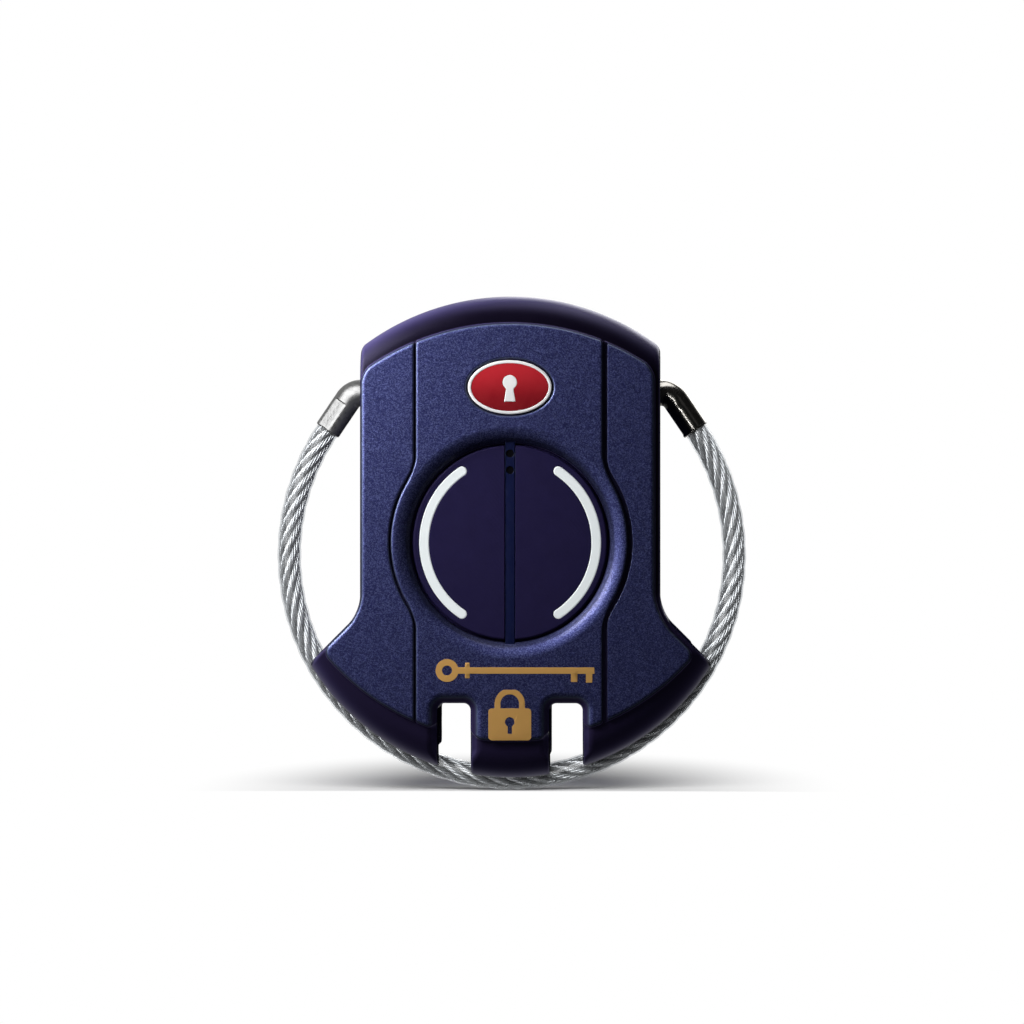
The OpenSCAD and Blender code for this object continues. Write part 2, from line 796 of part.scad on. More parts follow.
// A pinion of involute teeth, with a gap on the +x side at angle 0.
module pinion_outline() {
    rb = pinion_r * cos(pressure_angle);
    half = 90 / pinion_teeth - backlash / 4 / pinion_r * 180 / PI + involute_angle(pinion_r, rb);
    tip = pinion_r + tooth_add;
    root = pinion_r - tooth_ded;
    radii = [root, rb, rb + 0.08, pinion_r, pinion_r + 0.13, tip];
    tooth = concat(
        [for (i = [0:5]) let (p = flank(radii[i], rb, half)) [p[0], -p[1]]],
        [for (i = [5:-1:0]) flank(radii[i], rb, half)]
    );
    polygon([for (k = [0:pinion_teeth - 1], p = tooth) turned(p, (k + 0.5) * 360 / pinion_teeth)]);
}

module drive_pinion() {
    color("gold") translate([bolt_x, motor_y, motor_d]) rotate([0, 90, 0]) rotate([0, 0, 180])
        linear_extrude(bolt_w) pinion_outline();
    color("silver") {
        rod_x(shaft_r, shaft_x0, bolt_x + eps, motor_y, motor_d);
        rod_x(shaft_r, bolt_x + bolt_w - eps, shaft_x1, motor_y, motor_d);
    }
}

// The y-d section of one rack tooth, which points to the back. Tooth 0 is level with the pinion.
function rack_tooth(k) = let (
    pitch = PI * gear_m,
    y = motor_y + k * pitch,
    half = pitch / 4 - backlash / 4,
    tip = half - tooth_add * tan(pressure_angle),
    root = half + tooth_ded * tan(pressure_angle),
    tip_d = rack_pitch_d - tooth_add,
    root_d = rack_pitch_d + tooth_ded
) [[y - root, root_d], [y - tip, tip_d], [y + tip, tip_d], [y + root, root_d]];

module bolt_section() {
    root_d = rack_pitch_d + tooth_ded;
    polygon(concat(
        [[bolt_bottom, bolt_front], [bolt_bottom, root_d]],
        [for (k = [-3:3], p = rack_tooth(k)) p],
        [[bolt_neck, root_d], [bolt_neck, bolt_back], [bolt_tip, bolt_back], [bolt_tip, bolt_front]]
    ));
}

// Draws a y-d section and carries it along x.
module run_x(x0, x1) {
    translate([x0, 0, 0]) multmatrix([[0, 0, 1, 0], [1, 0, 0, 0], [0, 1, 0, 0], [0, 0, 0, 1]])
        linear_extrude(x1 - x0) children();
}

// The bolt with its lug for the key's cam and its stud for the spring.
module bolt() {
    color("silver") {
        run_x(bolt_x, bolt_x + bolt_w) bolt_section();
        block([lug_x, lug_top - lug_h, 8], [bolt_x + eps, lug_top, bolt_front]);
        rod_y(spring_guide_r, bolt_bottom - 1.4, bolt_bottom + eps, bolt_mid, spring_d);
    }
}

// A coil of round wire along y, made of the rings of points that its centre line carries.
function coil_ring(i) = let (
    a = i * 360 / spring_steps,
    low = spring_low + wire_r,
    high = bolt_bottom - wire_r,
    y = low + (high - low) * i / (spring_turns * spring_steps)
) [for (k = [0:spring_sides - 1]) let (
    b = k * 360 / spring_sides,
    r = spring_r + wire_r * cos(b)
) [r * cos(a), y + wire_r * sin(b), r * sin(a)]];

module bolt_spring() {
    n = floor(spring_turns * spring_steps);
    m = spring_sides;
    points = [for (i = [0:n], p = coil_ring(i)) p];
    sides = [for (i = [0:n - 1], k = [0:m - 1]) let (next = (k + 1) % m)
        [i * m + k, i * m + next, (i + 1) * m + next, (i + 1) * m + k]];
    caps = [[for (k = [m - 1:-1:0]) k], [for (k = [0:m - 1]) n * m + k]];
    color("silver") translate([bolt_mid, 0, spring_d])
        polyhedron(points = points, faces = concat(sides, caps));
}

// ---- key cylinder --------------------------------------------------------

module key_cylinder_housing() {
    color("silver") difference() {
        rod_d(housing_r, 0.05, 7.8, key_x, pin_y);
        rod_d(plug_r + 0.05, -1, 9, key_x, pin_y);
        rod_d(plug_r + plug_flange + 0.05, -1, 1.2, key_x, pin_y);
    }
}

// The plug has a flange at its face, a cross-shaped keyway and a hole for the cam's screw.
module key_plug() {
    keyway_end = 6.5;
    color("gold") translate([key_x, pin_y, 0]) difference() {
        union() {
            rod_d(plug_r + plug_flange, 0.15, 1.15);
            rod_d(plug_r, 1.1, cam_d0 - 0.02);
        }
        block([-0.45, -2.2, -1], [0.45, 2.2, keyway_end]);
        block([-0.95, -0.6, -1], [0.95, 0.3, keyway_end]);
        rod_d(small_screw_r, keyway_end + 0.4, cam_d0 + 1);
    }
}

// The cam's reach grows evenly with angle where it meets the bolt's flat lug, so
// that edge is the involute of a circle whose radius is the reach per radian.
cam_rise = bolt_travel / (PI / 2);
function cam_point(t) = let (a = 270 - t, p = cam_low + cam_rise * t * PI / 180)
    [p * cos(a) + cam_rise * sin(a), p * sin(a) - cam_rise * cos(a)];

module key_cam() {
    edge = [for (t = [0:7.5:90]) cam_point(t)];
    color("silver") translate([key_x, pin_y, 0]) difference() {
        union() {
            slab(cam_d0, cam_d1) polygon(concat([[0, 0]], edge, [[-2.2, 1.6]]));
            rod_d(2.3, cam_d0, cam_d1);
        }
        rod_d(small_screw_r + 0.05, cam_d0 - 1, cam_d1 + 1);
    }
}

module cam_screw() {
    color("silver") translate([key_x, pin_y, cam_d1 + 0.55])
        mirror([0, 0, 1]) screw(0, 1.2, 0.5, small_screw_r, 1.6);
}

// ---- sockets, elbows and rope --------------------------------------------

module fixed_socket() {
    color("silver") difference() {
        rod_x(socket_r, -half_w, -fixed_socket_x, pin_y, split_d);
        rod_x(pin_r + socket_play, -half_w - 1, -fixed_socket_x + 1, pin_y, split_d);
    }
}

// The free pin's socket, with a slot for the bolt.
module free_socket() {
    color("silver") difference() {
        rod_x(socket_r, free_socket_x, half_w, pin_y, split_d);
        rod_x(pin_r + socket_play, free_socket_x - 1, half_w + 1, pin_y, split_d);
        block([bolt_x - bolt_play, pin_y - socket_r - 1, bolt_back - 0.1],
              [bolt_x + bolt_w + bolt_play, pin_y, bolt_front + 0.1]);
    }
}

// A straight run along the right-hand ferrule, from its mouth inward.
module along_ferrule(r, len, start = 0) {
    translate([loop_end[0], loop_end[1], split_d]) rotate([0, 0, 180 - bend_angle])
        rotate([0, 90, 0]) translate([0, 0, start]) cylinder(r = r, h = len);
}

// The right-hand elbow: pin, bend and the ferrule that grips the rope.
module elbow(inner_x, collar) {
    difference() {
        union() {
            rod_x(pin_r, inner_x, bend_x + eps, pin_y, split_d);
            translate([bend_x, pin_y - bend_r, split_d]) rotate([0, 0, loop_end_angle])
                rotate_extrude(angle = bend_angle)
                    translate([bend_r, 0]) circle(r = pin_r - bend_step, $fn = 48);
            along_ferrule(pin_r, ferrule_len + eps);
            if (collar) along_ferrule(collar_r, collar_len);
        }
        along_ferrule(rope_r + 0.02, rope_in + 0.02 + eps, -eps);
    }
}

// A ring of tool that leaves a core standing along x.
module ring_x(core_r, x0, x1) {
    difference() {
        rod_x(pin_r + 1, x0, x1, pin_y, split_d);
        rod_x(core_r, x0 - 1, x1 + 1, pin_y, split_d);
    }
}

// The free elbow's pin has a chamfered end and the groove that the bolt locks into.
module free_elbow() {
    color("silver") difference() {
        elbow(free_pin_x, true);
        ring_x(free_groove_r, bolt_x - free_groove_play, bolt_x + bolt_w + free_groove_play);
        difference() {
            rod_x(pin_r + 1, free_pin_x - 1, free_pin_x + free_chamfer, pin_y, split_d);
            translate([free_pin_x, pin_y, split_d]) rotate([0, 90, 0])
                cylinder(r1 = pin_r - free_chamfer + 0.2, r2 = pin_r, h = free_chamfer);
        }
    }
}

module fixed_elbow() {
    color("silver") difference() {
        mirror([1, 0, 0]) elbow(fixed_pin_x, false);
        ring_x(clip_groove_r, -clip_groove[1], -clip_groove[0]);
    }
}

// An open retaining ring in the fixed pin's groove.
module fixed_pin_clip() {
    color("silver") difference() {
        rod_x(clip_r, -clip_groove[1] + clip_play, -clip_groove[0] - clip_play, pin_y, split_d);
        rod_x(clip_groove_r + 0.02, -clip_groove[1] - 1, -clip_groove[0] + 1, pin_y, split_d);
        block([-far, pin_y, split_d - 0.8], [far, far, split_d + 0.8]);
    }
}

// The rope's long arc under the lock.
module loop_arc(r) {
    translate([0, loop_y, split_d]) rotate([0, 0, 180 - loop_end_angle])
        rotate_extrude(angle = 180 + 2 * loop_end_angle, $fn = 128)
            translate([loop_r, 0]) circle(r = r, $fn = 48);
}

module wire_rope() {
    color("lightgray") {
        loop_arc(rope_r);
        for (s = [0, 1]) mirror([s, 0, 0]) along_ferrule(rope_r - bend_step, rope_in + eps, -eps);
    }
}

module rope_jacket() {
    color("whitesmoke", 0.4) difference() {
        loop_arc(jacket_r);
        loop_arc(rope_r);
    }
}

// ---- assembly ------------------------------------------------------------

stand() front_shell();
stand() rear_shell();
stand() housing_gasket();
stand() housing_screws();
stand() left_button();
stand() left_light_inlay();
stand() right_button();
stand() right_light_inlay();
stand() button_bar();
stand() button_hinge_pin();
stand() led_lenses();
stand() status_leds();
stand() left_switch();
stand() left_switch_plunger();
stand() right_switch();
stand() right_switch_plunger();
stand() circuit_board();
stand() board_screws();
stand() radio_module();
stand() buzzer();
stand() battery();
stand() usb_socket();
stand() port_flap();
stand() flap_hinge_pin();
stand() badge_base();
stand() badge_enamel();
stand() badge_mark();
stand() mechanism_frame();
stand() frame_screws();
stand() motor_can();
stand() gearbox();
stand() drive_pinion();
stand() bolt();
stand() bolt_spring();
stand() key_cylinder_housing();
stand() key_plug();
stand() key_cam();
stand() cam_screw();
stand() fixed_socket();
stand() free_socket();
stand() fixed_elbow();
stand() fixed_pin_clip();
stand() free_elbow();
stand() wire_rope();
stand() rope_jacket();
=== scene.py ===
"""Looks for the cable luggage lock: painted shells, button, badge, wire-rope loop and a white studio.

Shapes are worked out in the lock's flat frame, in mm: x to the right, y up the face and d the depth
from the back face. Most pieces are distance fields, which are negative inside the solid and near a true
distance close to its surface. Field functions take x, y and d as arrays that broadcast together.
"""
import json
import math

import bmesh
import bpy
import numpy as np
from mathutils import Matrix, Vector


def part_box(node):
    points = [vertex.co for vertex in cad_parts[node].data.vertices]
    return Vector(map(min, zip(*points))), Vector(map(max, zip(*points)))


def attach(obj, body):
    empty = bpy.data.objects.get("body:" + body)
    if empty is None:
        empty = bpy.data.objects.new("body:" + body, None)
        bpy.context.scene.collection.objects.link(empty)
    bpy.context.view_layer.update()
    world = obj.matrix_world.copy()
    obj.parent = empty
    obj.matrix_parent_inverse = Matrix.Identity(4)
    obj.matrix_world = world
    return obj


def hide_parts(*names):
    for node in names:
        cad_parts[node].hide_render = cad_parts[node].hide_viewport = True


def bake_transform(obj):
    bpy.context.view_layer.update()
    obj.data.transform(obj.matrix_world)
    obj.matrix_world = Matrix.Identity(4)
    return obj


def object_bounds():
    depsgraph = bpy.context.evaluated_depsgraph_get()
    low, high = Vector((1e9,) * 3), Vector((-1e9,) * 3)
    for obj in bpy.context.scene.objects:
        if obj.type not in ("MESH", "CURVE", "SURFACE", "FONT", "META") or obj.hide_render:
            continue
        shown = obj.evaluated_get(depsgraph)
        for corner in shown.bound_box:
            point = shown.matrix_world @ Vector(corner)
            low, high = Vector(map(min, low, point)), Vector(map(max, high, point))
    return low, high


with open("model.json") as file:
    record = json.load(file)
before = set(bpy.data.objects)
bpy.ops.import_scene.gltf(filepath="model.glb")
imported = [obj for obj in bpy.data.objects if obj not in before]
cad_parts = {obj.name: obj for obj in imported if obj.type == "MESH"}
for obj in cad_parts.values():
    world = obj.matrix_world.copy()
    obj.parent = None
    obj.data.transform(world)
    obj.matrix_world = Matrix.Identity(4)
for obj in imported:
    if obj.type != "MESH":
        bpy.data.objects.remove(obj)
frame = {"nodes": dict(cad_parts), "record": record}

START_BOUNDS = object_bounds()
MM = 0.001


# ---- sizes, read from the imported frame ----


def flat_box(node):
    """A node's box in the flat frame: the low and high x, y and d, in mm."""
    low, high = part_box(node)
    return (low.x / MM, high.x / MM), (low.z / MM, high.z / MM), (-high.y / MM, -low.y / MM)


def middle(span):
    return (span[0] + span[1]) / 2


def half(span):
    return (span[1] - span[0]) / 2


FRONT = flat_box("front_shell")
REAR = flat_box("rear_shell")
JACKET = flat_box("rope_jacket")
SOCKET = flat_box("free_socket")
BADGE = flat_box("badge_base")
PLUG = flat_box("key_plug")
MOUNTS = {m["name"]: m for m in frame["record"]["mounts"]}

BODY_D = FRONT[2][1]
SPLIT_D = REAR[2][1]
TOP_R = FRONT[1][1]
LOWER_R = -FRONT[1][0]
HALF_W = SOCKET[0][1]
WING_X = FRONT[0][1]
SHOULDER_Y = WING_X - HALF_W - math.sqrt(LOWER_R**2 - WING_X**2)
JACKET_R = half(JACKET[2])
LOOP_R = half(JACKET[0]) - JACKET_R
LOOP_Y = JACKET[1][0] + JACKET_R + LOOP_R
INNER_R = LOOP_Y - REAR[1][0]
PIN_Y = middle(SOCKET[1])
SOCKET_R = half(SOCKET[1])
BUTTON_FACE = flat_box("right_button")[2][1]
NOTCH_X = MOUNTS["right_pull_slot"]["pos_m"][0] / MM
KEY_X = middle(PLUG[0])
ROPE_R = half(flat_box("wire_rope")[2])
PIN_R = half(flat_box("fixed_elbow")[2])
BADGE_A = half(BADGE[0])
BADGE_B = half(BADGE[1])
PLUG_R = half(PLUG[0]) - 0.5

# ---- sizes of the finish ----

# housing
PANEL_H = 0.6  # how far the front panel stands up
PANEL_BASE = BODY_D - PANEL_H
FLANGE_D = 9.4  # back of the flange that covers the rope
RIM = 3.5  # radius of the curved rim
FLANK_EDGE = 0.55  # radius where the flanks meet the face
SHOULDER_R = 1.5  # inner corner between a flank and its shoulder
OUTLINE_R = 0.8  # corners of the back half's outline
CAVITY = dict(w=16.95, r=29.2, low=-18.2, back=1.6, front=13.7)
SCREWS = [(13.6, 24.6), (-13.6, 24.6), (20.2, -13.7), (-20.2, -13.7)]
POST_R = 2.6  # posts round the housing screws
BORDER_IN = 2.6  # from the back's edge to the fine line that follows it
BORDER_HALF = 0.22  # half width of that line, and its depth

# front panel
PANEL_TOP = (-3.95, 32.0)  # centre height and radius of the panel's top edge
PANEL_LOW = (5.5, 30.9)  # the same for its lower edge
PANEL_CORNER = 1.3
PANEL_INSET = (0.1, 0.65)  # from the flank to the panel, on the left and on the right
PANEL_EDGE = 0.6  # radius of the raised panel's edges
GROOVE_X = 12.1
GROOVE_R = 15.3
GROOVE_D = 0.45
SLIT = (0.07, 0.1)  # the left groove: half width at its floor, and its gain per mm of height
SLIT_EDGE = 0.3
WIDE = (-0.25, 0.36)  # the right groove: its two walls, from its middle line
WIDE_EDGE = (0.34, 0.04)  # edge radius of its inner and of its outer wall
NOTCH_HALF = 2.1
NOTCH_TOP = -20.5
NOTCH_SLOPE = 1.05  # width of the sloping edge round the notches
NOTCH_FADE = (-28.6, -26.2)  # heights between which that edge grows to its full width

# button and dish
BUTTON_R = 12.42
HOLE_R = 12.62
DISH_D = 1.35  # depth of the dish
DISH_R = 13.9  # its outer radius
DISH_EDGE = 0.7  # radius of its upper edge
BUTTON_GAP = 0.68  # from the middle to each half of the button
HINGE_D = 11.7  # depth of the button's hinge line
HINGE_EYE_R = 0.95
INLAY_W = 1.22
INLAY_R = flat_box("right_light_inlay")[0][1] - INLAY_W / 2
INLAY_ANGLE = math.radians(56)
INLAY_D = 0.5  # depth of the inlay and its pocket
BAR_HALF = 0.6  # half width of the bar

# badge
BADGE_RIM = 0.4
BADGE_DEEP = 0.45  # how far the badge is let into the panel
ENAMEL_DEEP = 0.25
DOME_H = 0.16

# loop
LOOP_END = math.radians(34)  # how far above the middle the round part of the loop ends
BEND_R = 2.1

FINE = 0.13  # grid step of the shells
ELBOW_STEP = 0.09
FLAP_STEP = 0.1


# ---- distance fields ----


def smooth(t):
    """A soft step from 0 to 1 as t goes from 0 to 1."""
    t = np.clip(t, 0, 1)
    return t * t * (3 - 2 * t)


def both(a, b, r):
    """Where a and b overlap, with a round edge of radius r."""
    return np.minimum(np.maximum(a, b), -r) + np.hypot(np.maximum(a + r, 0), np.maximum(b + r, 0))


def either(a, b, r):
    """a joined to b, with a round inner corner of radius r."""
    return -both(-a, -b, r)


def cut(a, b, r):
    """a with b taken away, and a round edge of radius r."""
    return both(a, -b, r)


def bevel(a, b, w, r):
    """a with b taken away, and a sloping edge that starts w from the corner."""
    return both(cut(a, b, r), (a - b + w) / math.sqrt(2), r)


def slab(d, low, high):
    return np.abs(d - (low + high) / 2) - (high - low) / 2


def disc(x, y, r, cx=0.0, cy=0.0):
    return np.hypot(x - cx, y - cy) - r


def brick(x, y, cx, cy, hx, hy, r):
    """A flat rectangle of half sizes hx and hy with corners of radius r."""
    ax = np.abs(x - cx) - hx + r
    ay = np.abs(y - cy) - hy + r
    return np.hypot(np.maximum(ax, 0), np.maximum(ay, 0)) + np.minimum(np.maximum(ax, ay), 0) - r


def oval(x, y, cx, cy, a, b):
    """A near distance to an ellipse of half sizes a and b."""
    u = np.hypot((x - cx) / a, (y - cy) / b)
    v = np.hypot((x - cx) / a**2, (y - cy) / b**2)
    return u * (u - 1) / np.maximum(v, 1e-6)


def side_walls(x, y):
    """The straight flanks, and the shoulders that run out from them at 45 degrees."""
    flank = np.abs(x) - HALF_W
    shoulder = (flank + y - SHOULDER_Y) / math.sqrt(2)
    return either(flank, shoulder, SHOULDER_R)


def arcs(x, y):
    """The round outline of the front: one radius above the middle, another below."""
    return np.where(y > 0, disc(x, y, TOP_R), disc(x, y, LOWER_R))


def back_arcs(x, y):
    """The same for the back, whose lower edge leaves room for the rope."""
    return np.where(y > 0, disc(x, y, TOP_R), disc(x, y, INNER_R, 0, LOOP_Y))


def panel_arcs(x, y):
    top = disc(x, y, PANEL_TOP[1], 0, PANEL_TOP[0])
    low = disc(x, y, PANEL_LOW[1], 0, PANEL_LOW[0])
    return np.where(y > 0, top, low)


def notches(x, y):
    reach = 20.0
    return brick(np.abs(x), y, NOTCH_X, NOTCH_TOP - reach, NOTCH_HALF, reach, 0.9)


def cavity(x, y):
    trunk = both(disc(x, y, CAVITY["r"]), np.abs(x) - CAVITY["w"], 0.6)
    return both(trunk, CAVITY["low"] - y, 0.6)


def bosses(x, y, r):
    spots = [disc(x, y, r, *p) for p in SCREWS]
    return np.minimum.reduce(spots)


def sockets(x, y, d):
    tube = np.hypot(y - PIN_Y, d - SPLIT_D) - SOCKET_R
    return np.maximum(tube, 8.0 - np.abs(x))


def port(x, y, d):
    """The recess the flap lies in, 1.2 mm deep, and the opening behind it."""
    recess = np.maximum(brick(y, d, 0, 7.4, 5.0, 3.2, 0.5), x + HALF_W - 1.2)
    opening = np.maximum(brick(y, d, 0, 7.7, 3.9, 1.6, 0.4), x + CAVITY["w"] - 1)
    return np.minimum(recess, opening)


def groove_line(x, y):
    """Zero on the grooves: the edge of the middle strip joined to the ring round the button."""
    return either(np.abs(x) - GROOVE_X, disc(x, y, GROOVE_R), 1.0)


def cut_grooves(panel, x, y, d):
    """The left groove is a narrow slit. The right one is wide, round inside and sharp outside."""
    up = d - BODY_D + GROOVE_D
    line = groove_line(x, y)
    slit = (np.abs(line) - SLIT[0] - SLIT[1] * up) / math.hypot(1, SLIT[1])
    wide = np.maximum(WIDE[0] - line, line - WIDE[1])
    shape = np.where(x < 0, slit, wide)
    outer = smooth((line + 0.15) / 0.3)
    edge = np.where(x < 0, SLIT_EDGE, WIDE_EDGE[0] + (WIDE_EDGE[1] - WIDE_EDGE[0]) * outer)
    return cut(panel, np.maximum(shape, -up), edge)


def dish_cone(x, y, d):
    """The flared wall from the button's hole up to the panel."""
    flare = (DISH_R - HOLE_R) / DISH_D
    return (np.hypot(x, y) - HOLE_R - (d - BODY_D + DISH_D) * flare) / math.hypot(1, flare)


def front_shell(x, y, d):
    """Rim, neck and raised panel, hollowed out, with every hole that shows."""
    side = side_walls(x, y)
    dome = both(arcs(x, y), d - PANEL_BASE, RIM)
    body = both(dome, side, FLANK_EDGE)
    body = both(body, FLANGE_D - d, 0.3)
    neck = both(both(back_arcs(x, y), side, OUTLINE_R), slab(d, SPLIT_D, FLANGE_D + 1), 0.2)
    body = np.minimum(body, neck)
    inset = PANEL_INSET[0] + (PANEL_INSET[1] - PANEL_INSET[0]) * smooth(x / 12)
    panel = both(panel_arcs(x, y), side + inset, PANEL_CORNER)
    panel = both(panel, slab(d, PANEL_BASE - 2, BODY_D), PANEL_EDGE)
    panel = cut_grooves(panel, x, y, d)
    body = either(body, panel, 0.15)
    body = cut(body, np.maximum(cavity(x, y), d - CAVITY["front"]), 0.2)
    posts = np.maximum(bosses(x, y, POST_R), slab(d, SPLIT_D, CAVITY["front"] + 0.2))
    body = np.minimum(body, np.maximum(posts, cavity(x, y) - 0.3))
    body = cut(body, dish_cone(x, y, d), DISH_EDGE)
    body = cut(body, disc(x, y, HOLE_R), 0.15)
    bar_slot = np.maximum(brick(x, y, 0, 0, BAR_HALF + 0.06, 13.45, 0.2), slab(d, 11, BUTTON_FACE - 0.05))
    body = cut(body, bar_slot, 0.05)
    pocket = oval(x, y, 0, middle(BADGE[1]), BADGE_A + 0.17, BADGE_B + 0.17)
    body = cut(body, np.maximum(pocket, BODY_D - BADGE_DEEP - d), 0.36)
    slope = NOTCH_SLOPE * smooth((y - NOTCH_FADE[0]) / (NOTCH_FADE[1] - NOTCH_FADE[0]))
    body = bevel(body, notches(x, y), slope, 0.3)
    body = cut(body, sockets(x, y, d), 0.12)
    body = cut(body, port(x, y, d), 0.15)
    return cut(body, np.maximum(bosses(x, y, 1.0), d - 12), 0.05)


def rear_shell(x, y, d):
    """The back half, with its border line, screw holes and the hole of the key cylinder."""
    outline = both(back_arcs(x, y), side_walls(x, y), OUTLINE_R)
    body = both(outline, -d, 1.1)
    body = both(body, d - SPLIT_D, 0.2)
    border = np.maximum(np.abs(outline + BORDER_IN) - BORDER_HALF, d - BORDER_HALF)
    body = cut(body, border, 0.1)
    body = cut(body, np.maximum(cavity(x, y), CAVITY["back"] - d), 0.2)
    posts = np.maximum(bosses(x, y, POST_R), slab(d, 0.5, SPLIT_D))
    ring = np.maximum(disc(x, y, PLUG_R + 2.3, KEY_X, PIN_Y), slab(d, 0.5, 5.5))
    body = np.minimum(body, np.maximum(np.minimum(posts, ring), cavity(x, y) - 0.3))
    body = cut(body, np.maximum(bosses(x, y, 2.05), d - 1.7), 0.2)
    body = cut(body, bosses(x, y, 1.1), 0.05)
    body = cut(body, disc(x, y, PLUG_R + 1.2, KEY_X, PIN_Y), 0.2)
    body = cut(body, notches(x, y), 0.4)
    body = cut(body, sockets(x, y, d), 0.12)
    return cut(body, port(x, y, d), 0.15)


def inlay_arc(x, y):
    """Distance to the middle line of the right-hand inlay, which ends in round caps."""
    angle = np.abs(np.arctan2(y, x))
    end = np.hypot(x - INLAY_R * math.cos(INLAY_ANGLE), np.abs(y) - INLAY_R * math.sin(INLAY_ANGLE))
    return np.where(angle < INLAY_ANGLE, np.abs(np.hypot(x, y) - INLAY_R), end)


def button_half(x, y, d):
    """The right half: a rounded cap, the lip that holds it in, and its hinge knuckles."""
    gap = BUTTON_GAP - x
    cap = both(both(disc(x, y, BUTTON_R), slab(d, 12.8, BUTTON_FACE), 0.25), gap, 0.05)
    lip = np.maximum(np.maximum(disc(x, y, 13.3), gap), slab(d, 12.5, 13.6))
    body = np.minimum(cap, lip)
    for low, high in ((4.5, 6.6), (-4.4, -2.3)):
        eye = np.hypot(x, d - HINGE_D) - HINGE_EYE_R
        arm = brick(x, d, 1.35, 12.2, 1.05, 0.7, 0.1)
        knuckle = cut(np.minimum(eye, arm), np.hypot(x, d - HINGE_D) - 0.5, 0.05)
        body = np.minimum(body, np.maximum(knuckle, slab(y, low, high)))
    nub = np.maximum(disc(x, y, 0.5, 7, 0), slab(d, 10.98, 12.8))
    body = np.minimum(body, nub)
    pocket = np.maximum(inlay_arc(x, y) - INLAY_W / 2 - 0.02, BUTTON_FACE - INLAY_D - d)
    return cut(body, pocket, 0.06)


def left_of(field):
    """The same piece turned half round, for the left-hand side."""
    return lambda x, y, d: field(-x, -y, d)


def light_inlay(x, y, d):
    """The right light arc, a little proud of the button."""
    return both(inlay_arc(x, y) - INLAY_W / 2, slab(d, BUTTON_FACE - INLAY_D, BUTTON_FACE + 0.03), 0.14)


def button_bar(x, y, d):
    """The fixed bar between the halves, with its two lens holes, feet and hinge lugs."""
    strip = both(brick(x, y, 0, 0, BAR_HALF, 13.0, 0.1), slab(d, 12.9, BUTTON_FACE - 0.07), 0.04)
    feet = np.maximum(brick(x, np.abs(y), 0, 12.6, BAR_HALF, 0.6, 0.1), slab(d, 9.9, 13.0))
    lugs = np.minimum(np.hypot(x, d - HINGE_D) - HINGE_EYE_R, brick(x, d, 0, 12.3, BAR_HALF, 0.75, 0.1))
    lugs = np.maximum(lugs, np.abs(np.abs(y) - 7.5) - 0.8)
    body = np.minimum(np.minimum(strip, feet), lugs)
    for hole_y in (11.36, 9.24):
        body = cut(body, np.maximum(disc(x, y, 0.5, 0, hole_y), 12.95 - d), 0.05)
    return body


def keyhole(x, y):
    """A plain keyhole in the middle of the badge."""
    cy = middle(BADGE[1])
    head = disc(x, y, 0.92, 0, cy + 0.62)
    taper = (np.abs(x) - 0.36 - 0.17 * (cy + 0.4 - y)) / math.hypot(1, 0.17)
    slot = np.maximum(taper, slab(y, cy - 1.85, cy + 0.4))
    return either(head, slot, 0.15)


def badge_dome(x, y):
    """Height of the domed enamel above the badge's rim."""
    u = (x / BADGE_A) ** 2 + ((y - middle(BADGE[1])) / BADGE_B) ** 2
    return DOME_H * np.maximum(1 - u, 0)


def badge_base(x, y, d):
    rim = oval(x, y, 0, middle(BADGE[1]), BADGE_A, BADGE_B)
    body = both(rim, slab(d, BODY_D - BADGE_DEEP, BODY_D + 0.02), 0.16)
    return cut(body, np.maximum(rim + BADGE_RIM, BODY_D - ENAMEL_DEEP - d), 0.06)


def badge_enamel(x, y, d):
    rim = oval(x, y, 0, middle(BADGE[1]), BADGE_A - BADGE_RIM, BADGE_B - BADGE_RIM)
    body = both(rim, slab(d, BODY_D - ENAMEL_DEEP, BODY_D - 0.06) - badge_dome(x, y), 0.05)
    return cut(body, keyhole(x, y), 0.04)


def badge_mark(x, y, d):
    body = slab(d, BODY_D - ENAMEL_DEEP, BODY_D - 0.04) - badge_dome(x, y)
    return both(keyhole(x, y) + 0.01, body, 0.05)


def key_print(x, y, d):
    """A gold key lying flat: ring, blade and two teeth."""
    cy = -16.3
    ring = np.abs(disc(x, y, 1.05, -8.0, cy)) - 0.42
    blade = brick(x, y, 1.9, cy, 8.9, 0.42, 0.12)
    collar = brick(x, y, -5.4, cy, 0.3, 1.0, 0.1)
    teeth = [brick(x, y, at, cy - 0.75, 0.42, reach, 0.1) for at, reach in ((10.1, 0.8), (8.2, 0.7))]
    return printed(np.minimum.reduce([ring, blade, collar] + teeth), d)


def padlock_print(x, y, d):
    """A gold padlock: a round-cornered body with a keyhole, under a plain shackle."""
    cy = -22.0
    box = brick(x, y, 0, cy - 1.15, 2.75, 2.05, 0.5)
    hole = np.minimum(disc(x, y, 0.6, 0, cy - 0.85), brick(x, y, 0, cy - 1.6, 0.26, 0.75, 0.08))
    bow = np.where(y > cy + 1.5, np.abs(disc(x, y, 1.55, 0, cy + 1.5)), np.abs(np.abs(x) - 1.55)) - 0.38
    bow = np.maximum(bow, cy + 0.5 - y)
    return printed(np.minimum(np.maximum(box, -hole), bow), d)


def printed(shape, d):
    """A print is a thin raised film."""
    return np.maximum(shape, slab(d, BODY_D - 0.12, BODY_D + 0.02))


